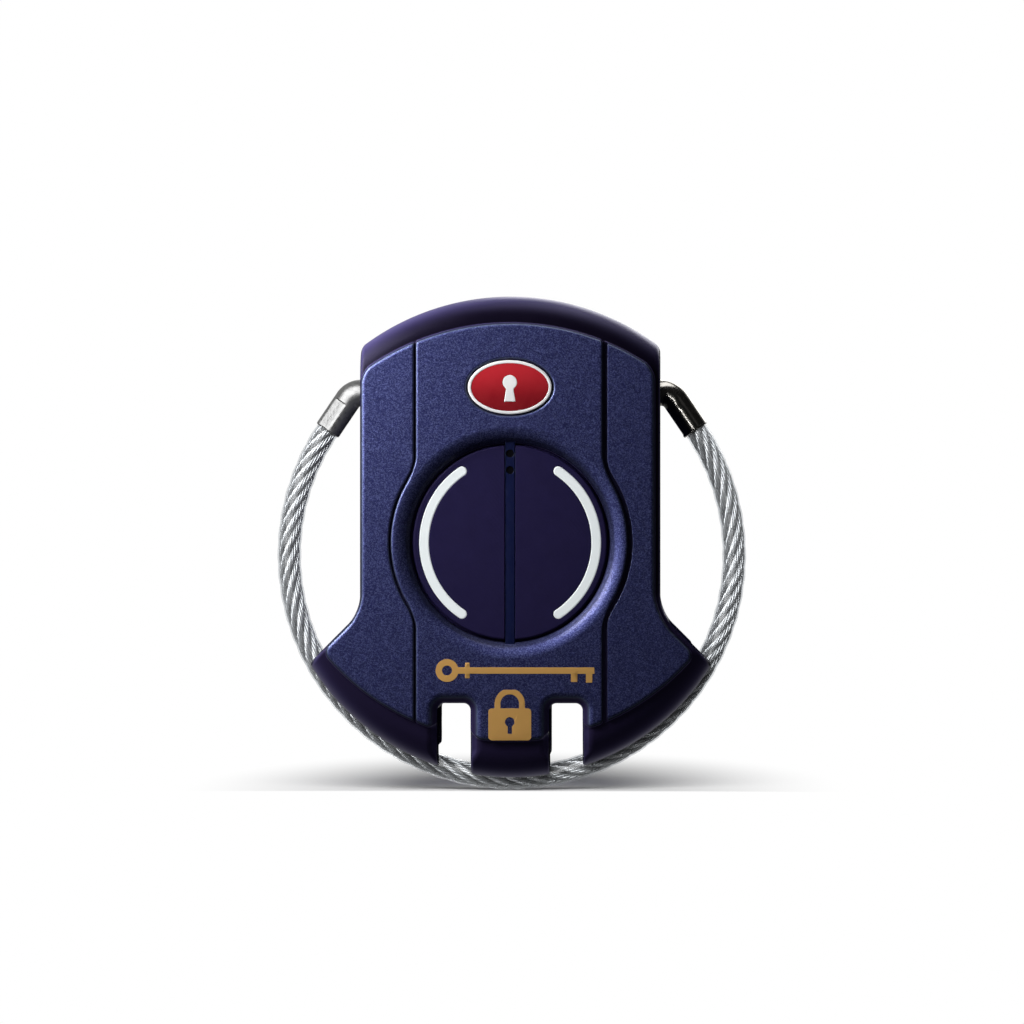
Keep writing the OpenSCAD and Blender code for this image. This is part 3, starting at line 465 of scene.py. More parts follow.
def port_flap(x, y, d):
    """The rubber lid with two finger ribs, its hinge barrel, and the plug behind it."""
    thickness = slab(x, -HALF_W + 0.05, -HALF_W + 1.1)
    lid = both(brick(y, d, 0, 7.975, 4.85, 2.475, 0.45), thickness, 0.2)
    ribs = np.maximum(np.abs(np.abs(y - 3.4) - 0.4) - 0.16, slab(d, 7.2, 9.6))
    lid = cut(lid, np.maximum(ribs, x + HALF_W - 0.25), 0.06)
    arm = np.maximum(brick(y, d, 0, 5.2, 2.4, 0.5, 0.1), thickness)
    barrel = np.maximum(np.hypot(x + 18.55, d - 4.8) - 0.55, np.abs(y) - 2.4)
    plug = both(brick(y, d, 0, 7.7, 3.4, 1.1, 0.4), slab(x, -HALF_W + 1, -HALF_W + 1.9), 0.2)
    return np.minimum.reduce([lid, arm, barrel, plug])


# ---- the rope's line and the elbows ----

LOOP_TIP = (LOOP_R * math.cos(LOOP_END), LOOP_Y + LOOP_R * math.sin(LOOP_END))
BEND = math.pi / 2 - LOOP_END
FERRULE = (PIN_Y - LOOP_TIP[1] - BEND_R * (1 - math.cos(BEND))) / math.sin(BEND)
BEND_X = LOOP_TIP[0] - FERRULE * math.cos(BEND) - BEND_R * math.sin(BEND)
ALONG = (math.cos(BEND), -math.sin(BEND))  # from the bend towards the rope
ROPE_IN = 3.4  # length of rope held in each ferrule


def elbow_parts(x, y, d):
    """Used by both elbows: distances to the pin and the bend, and the ferrule's own coordinates."""
    pin = np.hypot(y - PIN_Y, d - SPLIT_D) - PIN_R
    pin = np.maximum(pin, x - BEND_X - 0.02)
    cy = PIN_Y - BEND_R
    angle = np.arctan2(y - cy, x - BEND_X)
    bend = np.hypot(np.hypot(x - BEND_X, y - cy) - BEND_R, d - SPLIT_D) - PIN_R
    bend = np.where((angle > LOOP_END - 0.02) & (angle < math.pi / 2 + 0.02), bend, 5.0)
    dx, dy = x - LOOP_TIP[0], y - LOOP_TIP[1]
    t = dx * ALONG[0] + dy * ALONG[1] + FERRULE
    u = dx * -ALONG[1] + dy * ALONG[0]
    return pin, bend, t, u, d - SPLIT_D


def free_elbow(x, y, d):
    """The right elbow: a smooth drawn tube with a rolled lip, and the bolt's groove round its pin."""
    pin, bend, t, u, w = elbow_parts(x, y, d)
    inner, groove = flat_box("free_elbow")[0][0], flat_box("bolt")[0][1] - 0.8
    pin = both(pin, inner - x, 0.6)
    pin = cut(pin, np.maximum(0.8 - np.hypot(y - PIN_Y, w), np.abs(x - groove) - 1), 0.08)
    flat = 0.12 * smooth((t - 0.6) / 0.8)
    tube = np.hypot(u, w * (1 + 0.03 * smooth(t))) - PIN_R + flat * np.abs(w) / PIN_R * 0.4
    ferrule = np.maximum(tube, -t)
    lip = np.hypot(np.hypot(u, w) - PIN_R + 0.11, t - FERRULE + 0.2) - 0.2 * smooth((0.2 - u) / 1.5)
    body = np.minimum.reduce([pin, bend, either(ferrule, lip, 0.15)])
    body = both(body, t - FERRULE, 0.15)
    return cut(body, np.maximum(np.hypot(u, w) - ROPE_R - 0.02, FERRULE - ROPE_IN - 0.1 - t), 0.12)


def fixed_elbow(x, y, d):
    """The left elbow, drawn on the right: its ferrule is squeezed flat and dimpled round the rope."""
    x = -x
    pin, bend, t, u, w = elbow_parts(x, y, d)
    pin = both(pin, 9.2 - x, 0.4)
    pin = cut(pin, np.maximum(1.1 - np.hypot(y - PIN_Y, w), np.abs(x - 10.2) - 0.3), 0.05)
    pressed = smooth((t - 0.4) / 0.25)
    tilt = math.radians(27)
    across = u * math.cos(tilt) - w * math.sin(tilt)
    facing = u * math.sin(tilt) + w * math.cos(tilt)
    dimples = 0.004 * np.sin(7.3 * t + 2 * np.sin(3.1 * across))
    dimples = dimples * np.sin(6.1 * across + 1.7 * np.sin(2.3 * t))
    top_flat = facing - 0.86 * PIN_R - (1 - pressed) + dimples
    low_flat = -facing - 0.93 * PIN_R - (1 - pressed)
    tube = both(both(np.hypot(u, w) - PIN_R, top_flat, 0.1), low_flat, 0.1)
    body = np.minimum.reduce([pin, bend, np.maximum(tube, -t)])
    body = both(body, t - FERRULE, 0.2)
    return cut(body, np.maximum(np.hypot(u, w) - ROPE_R - 0.02, FERRULE - ROPE_IN - 0.1 - t), 0.12)


# ---- meshes ----


def to_frame(points):
    """Flat mm to the row frame in metres."""
    return np.stack([points[:, 0], -points[:, 2], points[:, 1]], 1) * MM


def gradient(field, p, h=0.02):
    """A field's slope at points, from its values h to each side."""
    out = np.empty_like(p)
    for axis in range(3):
        step = np.zeros(3)
        step[axis] = h
        ahead, behind = p + step, p - step
        out[:, axis] = (field(*ahead.T) - field(*behind.T)) / (2 * h)
    return out


def even(span, step):
    """Grid positions at one step, from a little before a span to a little past it."""
    return np.arange(span[0] - 2.5 * step, span[1] + 3 * step, step)


def graded(span, step, fine_from, fine_step):
    """Grid positions that get closer together past fine_from."""
    coarse = np.arange(span[0] - 2.5 * step, fine_from, step)
    fine = np.arange(coarse[-1] + fine_step, span[1] + 3 * fine_step, fine_step)
    return np.concatenate([coarse, fine])


def net(field, axes):
    """Quads on a field's zero surface: a point in each grid cell it crosses, pulled onto the surface."""
    x, y, d = axes[0][:, None, None], axes[1][None, :, None], axes[2][None, None, :]
    f = np.broadcast_to(field(x, y, d), [len(a) for a in axes]).astype(np.float32)
    inside = f < 0
    shape = f.shape
    stride = np.array([shape[1] * shape[2], shape[2], 1])
    cells, hits, quads = [], [], []
    for axis in range(3):
        one, two = (axis + 1) % 3, (axis + 2) % 3
        low = [slice(None)] * 3
        high = [slice(None)] * 3
        low[axis], high[axis] = slice(0, -1), slice(1, None)
        at = np.argwhere(inside[tuple(low)] != inside[tuple(high)])
        if not len(at):
            continue
        ids = at @ stride
        f0, f1 = f.ravel()[ids], f.ravel()[ids + stride[axis]]
        point = np.stack([axes[k][at[:, k]] for k in range(3)], 1)
        gap = axes[axis][at[:, axis] + 1] - point[:, axis]
        point[:, axis] += gap * f0 / (f0 - f1)
        around = [ids - stride[one] - stride[two], ids - stride[two], ids, ids - stride[one]]
        quad = np.stack(around, 1)
        leaving = f0 < 0
        quad[~leaving] = quad[~leaving][:, ::-1]
        quads.append(quad)
        for cell in around:
            cells.append(cell)
            hits.append(point)
    quads = np.concatenate(quads)
    cells = np.concatenate(cells)
    hits = np.concatenate(hits)
    names, index = np.unique(cells, return_inverse=True)
    count = np.bincount(index)
    points = np.stack([np.bincount(index, hits[:, k]) / count for k in range(3)], 1)
    reach = np.median(np.diff(axes[0])) / 2
    for _ in range(3):
        value, slope = field(*points.T), gradient(field, points)
        move = slope * (value / np.maximum((slope**2).sum(1), 0.2))[:, None]
        points -= np.clip(move, -reach, reach)
    return points, np.searchsorted(names, quads)


def new_mesh(name, points, faces):
    mesh = bpy.data.meshes.new(name)
    mesh.from_pydata([], [], [])
    faces = np.asarray(faces)
    sides = faces.shape[1]
    mesh.vertices.add(len(points))
    mesh.vertices.foreach_set("co", to_frame(points).ravel())
    mesh.loops.add(faces.size)
    mesh.loops.foreach_set("vertex_index", faces.ravel())
    mesh.polygons.add(len(faces))
    mesh.polygons.foreach_set("loop_start", np.arange(0, faces.size, sides))
    mesh.update(calc_edges=True)
    return mesh


def smooth_shading(mesh):
    mesh.polygons.foreach_set("use_smooth", [True] * len(mesh.polygons))


def show(mesh, name, slot, material, replaced):
    """Puts a mesh in the scene as a piece that stands for CAD nodes."""
    piece = bpy.data.objects.new(name, mesh)
    bpy.context.scene.collection.objects.link(piece)
    mesh.materials.append(material)
    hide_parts(*replaced)
    return piece


def dissolve(mesh, degrees=0.6, tile=2.5 * MM):
    """Merges faces that lie in one plane, within tiles: very large faces would make it slow."""
    work = bmesh.new()
    work.from_mesh(mesh)
    home = {face: tuple((face.verts[0].co / tile).to_tuple(0)) for face in work.faces}
    inner = [edge for edge in work.edges if len({home[face] for face in edge.link_faces}) == 1]
    bmesh.ops.dissolve_limit(work, angle_limit=math.radians(degrees), verts=work.verts, edges=inner)
    work.to_mesh(mesh)
    work.free()


def solid(name, field, spans, step, body, slot, material, replaced=(), depths=None):
    """A piece made from a field. Its normals come from the field, so that the shading is exact."""
    if depths is None:
        depths = even(spans[2], step)
    axes = [even(spans[0], step), even(spans[1], step), depths]
    points, faces = net(field, axes)
    mesh = new_mesh(name, points, faces)
    dissolve(mesh)
    co = np.empty(len(mesh.vertices) * 3)
    mesh.vertices.foreach_get("co", co)
    co = co.reshape(-1, 3) / MM
    normals = gradient(field, np.stack([co[:, 0], co[:, 2], -co[:, 1]], 1))
    normals /= np.maximum(np.linalg.norm(normals, axis=1), 1e-6)[:, None]
    smooth_shading(mesh)
    normals = np.stack([normals[:, 0], -normals[:, 2], normals[:, 1]], 1)
    mesh.normals_split_custom_set_from_vertices(normals)
    piece = show(mesh, name, slot, material, replaced)
    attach(piece, body)
    return piece


def stand_in(node, ending, field, step, body, slot, material, spans=None, depths=None):
    """A piece that takes one node's place and fills its box."""
    spans = spans or flat_box(node)
    name = f"{node}_{ending}"
    return solid(name, field, spans, step, body, slot, material, [node], depths=depths)


def rings_to_faces(rings, sides):
    """Quads between successive rings of points."""
    i = np.arange(rings - 1)[:, None] * sides
    k = np.arange(sides)[None, :]
    nxt = (k + 1) % sides
    return np.stack([i + k, i + nxt, i + sides + nxt, i + sides + k], -1).reshape(-1, 4)


def loop_line(s):
    """The rope's middle line at length s, with its outward direction: straight, round, straight."""
    arc = LOOP_R * (math.pi + 2 * LOOP_END)
    turn = np.clip(s - ROPE_IN, 0, arc) / LOOP_R
    angle = math.pi - LOOP_END + turn
    out = np.stack([np.cos(angle), np.sin(angle), np.zeros_like(s)], 1)
    along = np.stack([-np.sin(angle), np.cos(angle), np.zeros_like(s)], 1)
    extra = np.minimum(s - ROPE_IN, 0) + np.maximum(s - ROPE_IN - arc, 0)
    centre = out * LOOP_R + along * extra[:, None]
    centre += np.array([0, LOOP_Y, SPLIT_D])
    return centre, out


ARC_LENGTH = LOOP_R * (math.pi + 2 * LOOP_END)
ROPE_LENGTH = ARC_LENGTH + 2 * ROPE_IN
DEPTH = np.array([0.0, 0.0, 1.0])
STRANDS = 6
STRAND_PITCH = -15.4  # mm a turn; minus is a right-hand lay
WIRE_PITCH = 4.3  # the wires turn the other way within their strand
STRAND_R = ROPE_R / 3
WIRE_R = STRAND_R / 3


def tube(line, r, sides):
    """Points and faces of a round tube along a line of points."""
    ahead = np.gradient(line, axis=0)
    ahead /= np.linalg.norm(ahead, axis=1)[:, None]
    one = np.cross(ahead, DEPTH)
    one /= np.linalg.norm(one, axis=1)[:, None]
    two = np.cross(ahead, one)
    turn = np.arange(sides) * 2 * math.pi / sides
    ring = np.cos(turn)[None, :, None] * one[:, None] + np.sin(turn)[None, :, None] * two[:, None]
    return (line[:, None] + ring * r).reshape(-1, 3), rings_to_faces(len(line), sides)


def strand_angle(s):
    return 2 * math.pi * s / STRAND_PITCH


def rope_points():
    """Every visible wire, with its radius and sides: six strands of six round a plain core."""
    step = 0.3
    s = np.arange(0, ROPE_LENGTH + step / 2, step)
    centre, out = loop_line(s)
    lines = []
    for i in range(STRANDS):
        a = (strand_angle(s) + 2 * math.pi * i / STRANDS)[:, None]
        one = np.cos(a) * out + np.sin(a) * DEPTH
        two = np.cos(a) * DEPTH - np.sin(a) * out
        middle_line = centre + one * 2 * STRAND_R
        for j in range(6):
            b = (2 * math.pi * (s / WIRE_PITCH + j / 6 + i * 0.37))[:, None]
            wire = middle_line + (np.cos(b) * one + np.sin(b) * two) * 2 * WIRE_R
            lines.append((wire, WIRE_R * 1.06, 5))
    lines.append((centre, STRAND_R * 1.1, 8))
    return lines


def rope_crest(points):
    """How high each point stands on the rope: 0 in the valleys between strands, 1 on their crests."""
    angle = np.arctan2(points[:, 1] - LOOP_Y, points[:, 0])
    off_arc = np.hypot(np.hypot(points[:, 0], points[:, 1] - LOOP_Y) - LOOP_R, points[:, 2] - SPLIT_D)
    inside = (angle < LOOP_END) | (angle > math.pi - LOOP_END)
    return np.where(inside, np.clip((off_arc / ROPE_R - 0.66) / 0.26, 0, 1), 0.5)


def wire_rope(material):
    points, faces, count = [], [], 0
    for line, r, sides in rope_points():
        p, f = tube(line, r, sides)
        points.append(p)
        faces.append(f + count)
        count += len(p)
    points = np.concatenate(points)
    mesh = new_mesh("wire_rope_strands", points, np.concatenate(faces))
    # The crest value drives the painted shade in the rope's valleys.
    crest = mesh.attributes.new("crest", "FLOAT", "POINT")
    crest.data.foreach_set("value", rope_crest(points))
    return cable_piece(mesh, "wire_rope_strands", "rope_steel", material, "wire_rope")


def rope_jacket(material):
    """A clear skin that sinks a little between the strands."""
    step = 0.5
    s = np.arange(ROPE_IN - 0.05, ROPE_IN + ARC_LENGTH + 0.05 + step / 2, step)
    centre, out = loop_line(s)
    sides = 48
    turn = np.arange(sides) * 2 * math.pi / sides
    ring = np.cos(turn)[None, :, None] * out[:, None] + np.sin(turn)[None, :, None] * DEPTH
    wave = np.cos(STRANDS * (turn[None, :] - strand_angle(s)[:, None]))
    outer = centre[:, None] + ring * (JACKET_R - 0.05 + 0.05 * wave)[..., None]
    inner = centre[:, None] + ring * (ROPE_R + 0.02)
    points = np.concatenate([outer.reshape(-1, 3), inner.reshape(-1, 3)])
    n = len(s) * sides
    faces = rings_to_faces(len(s), sides)
    k = np.arange(sides)
    nxt = (k + 1) % sides
    last = n - sides
    first_cap = np.stack([k, k + n, nxt + n, nxt], 1)
    last_cap = np.stack([last + k, last + nxt, last + n + nxt, last + n + k], 1)
    faces = np.concatenate([faces, faces[:, ::-1] + n, first_cap, last_cap])
    mesh = new_mesh("rope_jacket_skin", points, faces)
    return cable_piece(mesh, "rope_jacket_skin", "clear_jacket", material, "rope_jacket")


def cable_piece(mesh, name, slot, material, node):
    """A rope piece between the fixed and the free elbow, shaded smooth, with its transform baked in."""
    smooth_shading(mesh)
    work = bmesh.new()
    work.from_mesh(mesh)
    bmesh.ops.recalc_face_normals(work, faces=work.faces)
    work.to_mesh(mesh)
    work.free()
    piece = show(mesh, name, slot, material, [node])
    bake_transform(piece)
    return piece


# ---- materials ----


class Recipe:
    """A material under construction: each call adds one node and returns its first output."""

    def __init__(self, name):
        self.material = bpy.data.materials.new(name)
        self.material.use_nodes = True
        self.tree = self.material.node_tree
        self.tree.nodes.clear()
        self.out = self.tree.nodes.new("ShaderNodeOutputMaterial")
        coords = self.node("TexCoord")
        self.place, self.normal = coords.outputs["Object"], coords.outputs["Normal"]

    def node(self, kind, settings=None, **inputs):
        """Adds a node. An input called i0, i1 and so on is found by its number, any other by its name."""
        made = self.tree.nodes.new("ShaderNode" + kind)
        for key, value in (settings or {}).items():
            setattr(made, key, value)
        for key, value in inputs.items():
            numbered = key[0] == "i" and key[1:].isdigit()
            self.put(value, made.inputs[int(key[1:]) if numbered else key.replace("_", " ")])
        return made

    def put(self, value, socket):
        if isinstance(value, bpy.types.NodeSocket):
            self.tree.links.new(value, socket)
        else:
            socket.default_value = value

    def noise(self, per_mm, detail=2.0, roughness=0.5, place=None):
        made = self.node("TexNoise", Vector=place or self.place, Scale=per_mm / MM, Detail=detail,
                         Roughness=roughness)
        return made.outputs["Fac"]

    def cells(self, per_mm):
        """A random value for each small cell."""
        made = self.node("TexVoronoi", Vector=self.place, Scale=per_mm / MM)
        return self.node("SeparateColor", Color=made.outputs["Color"]).outputs["Red"]

    def maths(self, kind, a, b=0.0):
        return self.node("Math", {"operation": kind}, i0=a, i1=b).outputs[0]

    def times(self, a, b):
        return self.maths("MULTIPLY", a, b)

    def remap(self, value, low, high, to_low, to_high):
        made = self.node("MapRange", {"interpolation_type": "SMOOTHSTEP"}, Value=value)
        limits = {"From Min": low, "From Max": high, "To Min": to_low, "To Max": to_high}
        for key, limit in limits.items():
            made.inputs[key].default_value = limit
        return made.outputs["Result"]

    def mix(self, share, a, b):
        made = self.node("Mix", {"data_type": "RGBA"}, Factor=share)
        for value, socket in ((a, made.inputs[6]), (b, made.inputs[7])):
            self.put(colour(value) if isinstance(value, tuple) else value, socket)
        return made.outputs[2]

    def blend(self, share, a, b):
        """A number between a and b."""
        return self.node("Mix", {"data_type": "FLOAT"}, i0=share, i2=a, i3=b).outputs[0]

    def bump(self, height, depth_mm, strength=1.0, normal=None):
        made = self.node("Bump", Height=height, Strength=strength, Distance=depth_mm * MM)
        if normal is not None:
            self.put(normal, made.inputs["Normal"])
        return made.outputs[0]

    def facing(self, blend=0.5):
        return self.node("LayerWeight", Blend=blend).outputs["Facing"]

    def surface(self, **inputs):
        for key in ("Base_Color", "Specular_Tint", "Emission_Color"):
            if isinstance(inputs.get(key), tuple):
                inputs[key] = colour(inputs[key])
        made = self.node("BsdfPrincipled", **inputs)
        self.tree.links.new(made.outputs[0], self.out.inputs[0])
        return self.material


def colour(rgb):
    return (*rgb, 1.0) if len(rgb) == 3 else rgb


NAVY = (0.039, 0.043, 0.163)
NAVY_DEEP = (0.022, 0.025, 0.110)
FLAKE = (0.215, 0.25, 0.57)
# The rim's black and purple make a painted sheen: black where it faces the front, purple where it turns
# away.
RIM_BLACK = (0.0034, 0.0022, 0.0078)
# Painted light: a lighter rim colour for low down.
RIM_LOW_PAINTED_LIGHT = (0.040, 0.030, 0.095)
# Painted highlight: a pale colour for the panel's rounded edges.
PALE_EDGE_HIGHLIGHT = (0.27, 0.34, 0.50)
# Painted shade: near black for turned paint, for flanks and for low shoulders.
PAINTED_SHADE_NAVY = (0.006, 0.006, 0.020)
RIM_SHEEN_PURPLE = (0.045, 0.037, 0.118)


def shell_paint(name, low_d, high_d):
    """Metallic navy with fine flakes on the panel, past high_d, and in the dish.

    The rest is smooth and dark: black facing the front, a painted purple sheen where it turns up or down,
    a little painted light low down, painted shade on flanks and low shoulders. Turned flakes get painted
    shade, the panel's edges a pale painted highlight.
    """
    r = Recipe(name)
    parts = r.node("SeparateXYZ", Vector=r.place)
    depth = r.times(parts.outputs["Y"], -1 / MM)
    square_x = r.maths("POWER", parts.outputs["X"], 2.0)
    square_z = r.maths("POWER", parts.outputs["Z"], 2.0)
    from_middle = r.maths("SQRT", r.maths("ADD", square_x, square_z))
    dish = r.remap(from_middle, (DISH_R + 0.7) * MM, (DISH_R + 0.8) * MM, 1.0, 0.0)
    flat_zone = r.maths("MAXIMUM", r.remap(depth, low_d, high_d, 0.0, 1.0), dish)
    normal = r.node("SeparateXYZ", Vector=r.normal)
    ahead = r.maths("ABSOLUTE", normal.outputs["Y"])
    # Steep walls are given the rim's dark colours, as painted shade.
    flat_zone = r.times(flat_zone, r.remap(ahead, 0.25, 0.6, 0.0, 1.0))
    # Painted shade: the flake paint is darkened to near black where the surface turns from the front.
    turned_shade = r.remap(ahead, 0.58, 0.97, 0.14, 1.0)
    flakes = r.maths("POWER", r.cells(9.0), 2.0)
    base = r.mix(r.noise(0.9, 3), NAVY_DEEP, NAVY)
    speckled = r.mix(r.times(flakes, 0.55), base, FLAKE)
    # Painted highlight: the panel's rounded edges, outside the dish, are painted paler.
    edge_highlight = r.times(r.remap(ahead, 0.75, 0.96, 0.5, 0.0), r.maths("SUBTRACT", 1.0, dish))
    speckled = r.mix(edge_highlight, speckled, PALE_EDGE_HIGHLIGHT)
    speckled = r.mix(turned_shade, PAINTED_SHADE_NAVY, speckled)
    # Painted reflection: the rim is black where it faces the front and painted with a purple sheen where
    # it turns away.
    turned = r.remap(ahead, 0.35, 0.97, 1.0, 0.0)
    gloss = r.mix(turned, RIM_BLACK, RIM_SHEEN_PURPLE)
    # Painted shade: flanks, and low surfaces that face up, are painted near black.
    flank = r.remap(r.maths("ABSOLUTE", normal.outputs["X"]), 0.8, 0.97, 0.0, 1.0)
    low = r.remap(parts.outputs["Z"], -0.008, -0.005, 1.0, 0.0)
    shoulder = r.times(low, r.remap(normal.outputs["Z"], 0.3, 0.6, 0.0, 1.0))
    flank = r.maths("MAXIMUM", flank, shoulder)
    # Painted light: low down, the rim is painted a little lighter.
    gloss = r.mix(r.times(low, 0.3), gloss, RIM_LOW_PAINTED_LIGHT)
    gloss = r.mix(flank, gloss, PAINTED_SHADE_NAVY)
    rough_flat = r.remap(r.cells(5.0), 0.0, 1.0, 0.46, 0.60)
    rough_rim = r.remap(r.noise(0.25, 4, 0.6), 0.3, 0.7, 0.34, 0.42)
    grain = r.times(r.noise(6.5, 2, 0.6), flat_zone)
    gloss_shine = r.times(r.blend(turned, 0.12, 0.6), r.maths("SUBTRACT", 1.0, flank))
    return r.surface(
        Base_Color=r.mix(flat_zone, gloss, speckled),
        Metallic=r.times(flat_zone, 0.85),
        Roughness=r.blend(flat_zone, rough_rim, rough_flat),
        Specular_IOR_Level=r.blend(flat_zone, gloss_shine, 0.4),
        Specular_Tint=r.mix(flat_zone, (0.62, 0.56, 1.0), (0.75, 0.88, 1.0)),
        Coat_Weight=r.times(flat_zone, 0.3),
        Coat_Roughness=0.24,
        Normal=r.bump(grain, 0.02, 0.45),
    )


def button_rubber():
    """Matte rubber with a fine diagonal weave."""
    r = Recipe("button_rubber")
    turned = r.node("Mapping", Vector=r.place, Rotation=(0, math.radians(38), 0)).outputs[0]
    lines = r.node("TexWave", {"bands_direction": "X"}, Vector=turned, Scale=0.75 / MM, Distortion=1.2,
                   Detail=1.0)
    cloud = r.noise(0.35, 3)
    tone = r.mix(cloud, (0.0090, 0.0066, 0.036), (0.0135, 0.0102, 0.052))
    tone = r.mix(r.times(lines.outputs["Fac"], 0.15), tone, (0.014, 0.011, 0.05))
    return r.surface(
        Base_Color=tone,
        Roughness=r.remap(r.noise(1.5, 3), 0.3, 0.7, 0.52, 0.66),
        Specular_IOR_Level=0.2,
        Specular_Tint=(0.7, 0.62, 1.0),
        Normal=r.bump(lines.outputs["Fac"], 0.008, 0.4, r.bump(r.noise(6, 2), 0.01, 0.3)),
    )


def plastic(name, low, high, rough, grain=0.01, **more):
    """Moulded plastic: two tones, uneven gloss and a fine grain."""
    r = Recipe(name)
    return r.surface(
        Base_Color=r.mix(r.noise(0.5, 4), low, high),
        Roughness=r.remap(r.noise(2.0, 3), 0.25, 0.75, rough * 0.85, rough * 1.2),
        Normal=r.bump(r.noise(4, 3), grain, 0.35),
        **more,
    )


def metal(name, low, high, rough, stretch=(1, 1, 1), grain=0.01, per_mm=3.0, shine=1.0):
    """Worked metal: streaks along the stretched axis, faint stains and small scratches."""
    r = Recipe(name)
    drawn = r.node("Mapping", Vector=r.place, Scale=stretch).outputs[0]
    streaks = r.noise(per_mm, 5, 0.65, drawn)
    stains = r.noise(0.4, 4, 0.6)
    return r.surface(
        Base_Color=r.mix(r.times(r.maths("ADD", streaks, stains), 0.5), low, high),
        Metallic=shine,
        Roughness=r.remap(streaks, 0.25, 0.8, rough * 0.7, rough * 1.35),
        Normal=r.bump(streaks, grain, 0.5),
    )


def clear_skin():
    """Thin clear vinyl: see-through, with a wet-looking shine that grows towards its edges."""
    r = Recipe("clear_jacket")
    ripple = r.bump(r.noise(1.2, 3), 0.02, 0.3)
    shine = r.node("BsdfGlossy", Color=(1, 1, 1, 1), Roughness=0.16, Normal=ripple)
    milk = r.node("BsdfDiffuse", Color=(0.8, 0.82, 0.84, 1))
    through = r.node("BsdfTransparent", Color=(0.93, 0.94, 0.95, 1))
    haze = r.remap(r.noise(0.6, 4), 0.3, 0.75, 0.03, 0.09)
    body = r.node("MixShader", Fac=haze, i1=through.outputs[0], i2=milk.outputs[0])
    edge = r.maths("ADD", r.times(r.maths("POWER", r.facing(0.5), 3.0), 0.3), 0.03)
    skin = r.node("MixShader", Fac=edge, i1=body.outputs[0], i2=shine.outputs[0])
    r.tree.links.new(skin.outputs[0], r.out.inputs[0])
    return r.material


def rope_metal():
    """Bright drawn wire, with painted shade that darkens the valleys between the strands."""
    r = Recipe("rope_steel")
    crest = r.node("Attribute", {"attribute_name": "crest"}).outputs["Fac"]
    wear = r.noise(2.0, 4, 0.6)
    bright = r.mix(wear, (0.80, 0.80, 0.80), (0.97, 0.97, 0.97))
    return r.surface(
        # Painted shade: the valleys between strands are painted dark.
        Base_Color=r.mix(crest, (0.25, 0.25, 0.253), bright),
        Metallic=0.85,
        Roughness=r.remap(wear, 0.25, 0.75, 0.24, 0.38),
        Normal=r.bump(r.noise(5.0, 2), 0.004, 0.4),
    )


def badge_red():
    """Glossy red enamel, with painted shade that makes it darker towards the badge's foot."""
    r = Recipe("badge_red")
    up = r.node("SeparateXYZ", Vector=r.place).outputs["Z"]
    # Painted shade: the enamel is painted darker towards its foot.
    shade = r.remap(up, 17.2 * MM, 22.4 * MM, 0.0, 1.0)
    tone = r.mix(shade, (0.17, 0.004, 0.009), (0.46, 0.018, 0.028))
    return r.surface(
        Base_Color=r.mix(r.times(r.noise(0.8, 3), 0.2), tone, (0.6, 0.05, 0.06)),
        Roughness=r.remap(r.noise(1.0, 3), 0.3, 0.7, 0.10, 0.18),
        Coat_Weight=0.8,
        Coat_Roughness=0.04,
    )


PAINT_FRONT = shell_paint("navy_paint_front", PANEL_BASE + 0.10, PANEL_BASE + 0.42)
PAINT_REAR = shell_paint("navy_paint_rear", -9.0, -8.0)
RUBBER = button_rubber()
# The light guide's emission is a painted glow that brightens the arcs.
LIGHT_GUIDE = plastic("light_guide", (0.56, 0.60, 0.61), (0.64, 0.67, 0.68), 0.38, 0.004,
                      Emission_Color=(0.92, 0.98, 1.0), Emission_Strength=0.32)
BAR_BLUE = plastic("bar_blue", (0.0032, 0.0060, 0.036), (0.0042, 0.0074, 0.042), 0.42, 0.002,
                   Specular_IOR_Level=0.15)
LENS_BLACK = plastic("lens_black", (0.002, 0.002, 0.003), (0.005, 0.005, 0.007), 0.1, 0.002)
BADGE_WHITE = plastic("badge_white", (0.80, 0.80, 0.82), (0.90, 0.90, 0.91), 0.16, 0.002,
                      Coat_Weight=0.5)
BADGE_RED = badge_red()
GOLD = metal("print_gold", (0.70, 0.38, 0.102), (0.88, 0.50, 0.15), 0.5, grain=0.004, per_mm=6,
             shine=0.35)
ROPE_STEEL = rope_metal()
ELBOW_BRIGHT = metal("elbow_bright", (0.25, 0.25, 0.25), (0.33, 0.33, 0.33), 0.36, grain=0.006,
                     per_mm=2.0, shine=0.85)
ELBOW_DARK = metal("elbow_dark", (0.34, 0.325, 0.30), (0.52, 0.50, 0.47), 0.2, grain=0.02, per_mm=2.0)
STEEL = metal("steel", (0.42, 0.42, 0.43), (0.60, 0.60, 0.61), 0.26)
SOCKET_STEEL = metal("socket_steel", (0.22, 0.22, 0.235), (0.34, 0.34, 0.35), 0.34)
BRASS = metal("brass", (0.50, 0.36, 0.13), (0.66, 0.50, 0.22), 0.28)
KEY_BRASS = metal("key_brass", (0.50, 0.40, 0.22), (0.68, 0.58, 0.36), 0.25)
ALUMINIUM = metal("aluminium", (0.60, 0.60, 0.61), (0.76, 0.76, 0.77), 0.35)
SEAL = plastic("seal_rubber", (0.010, 0.010, 0.010), (0.022, 0.022, 0.023), 0.7)
FLAP_RUBBER = plastic("flap_rubber", (0.006, 0.006, 0.020), (0.012, 0.012, 0.036), 0.55, 0.015)
BLACK = plastic("component_black", (0.012, 0.012, 0.013), (0.028, 0.028, 0.029), 0.5)
BOARD = plastic("board_green", (0.008, 0.070, 0.030), (0.016, 0.120, 0.050), 0.35)
JACKET_CLEAR = clear_skin()

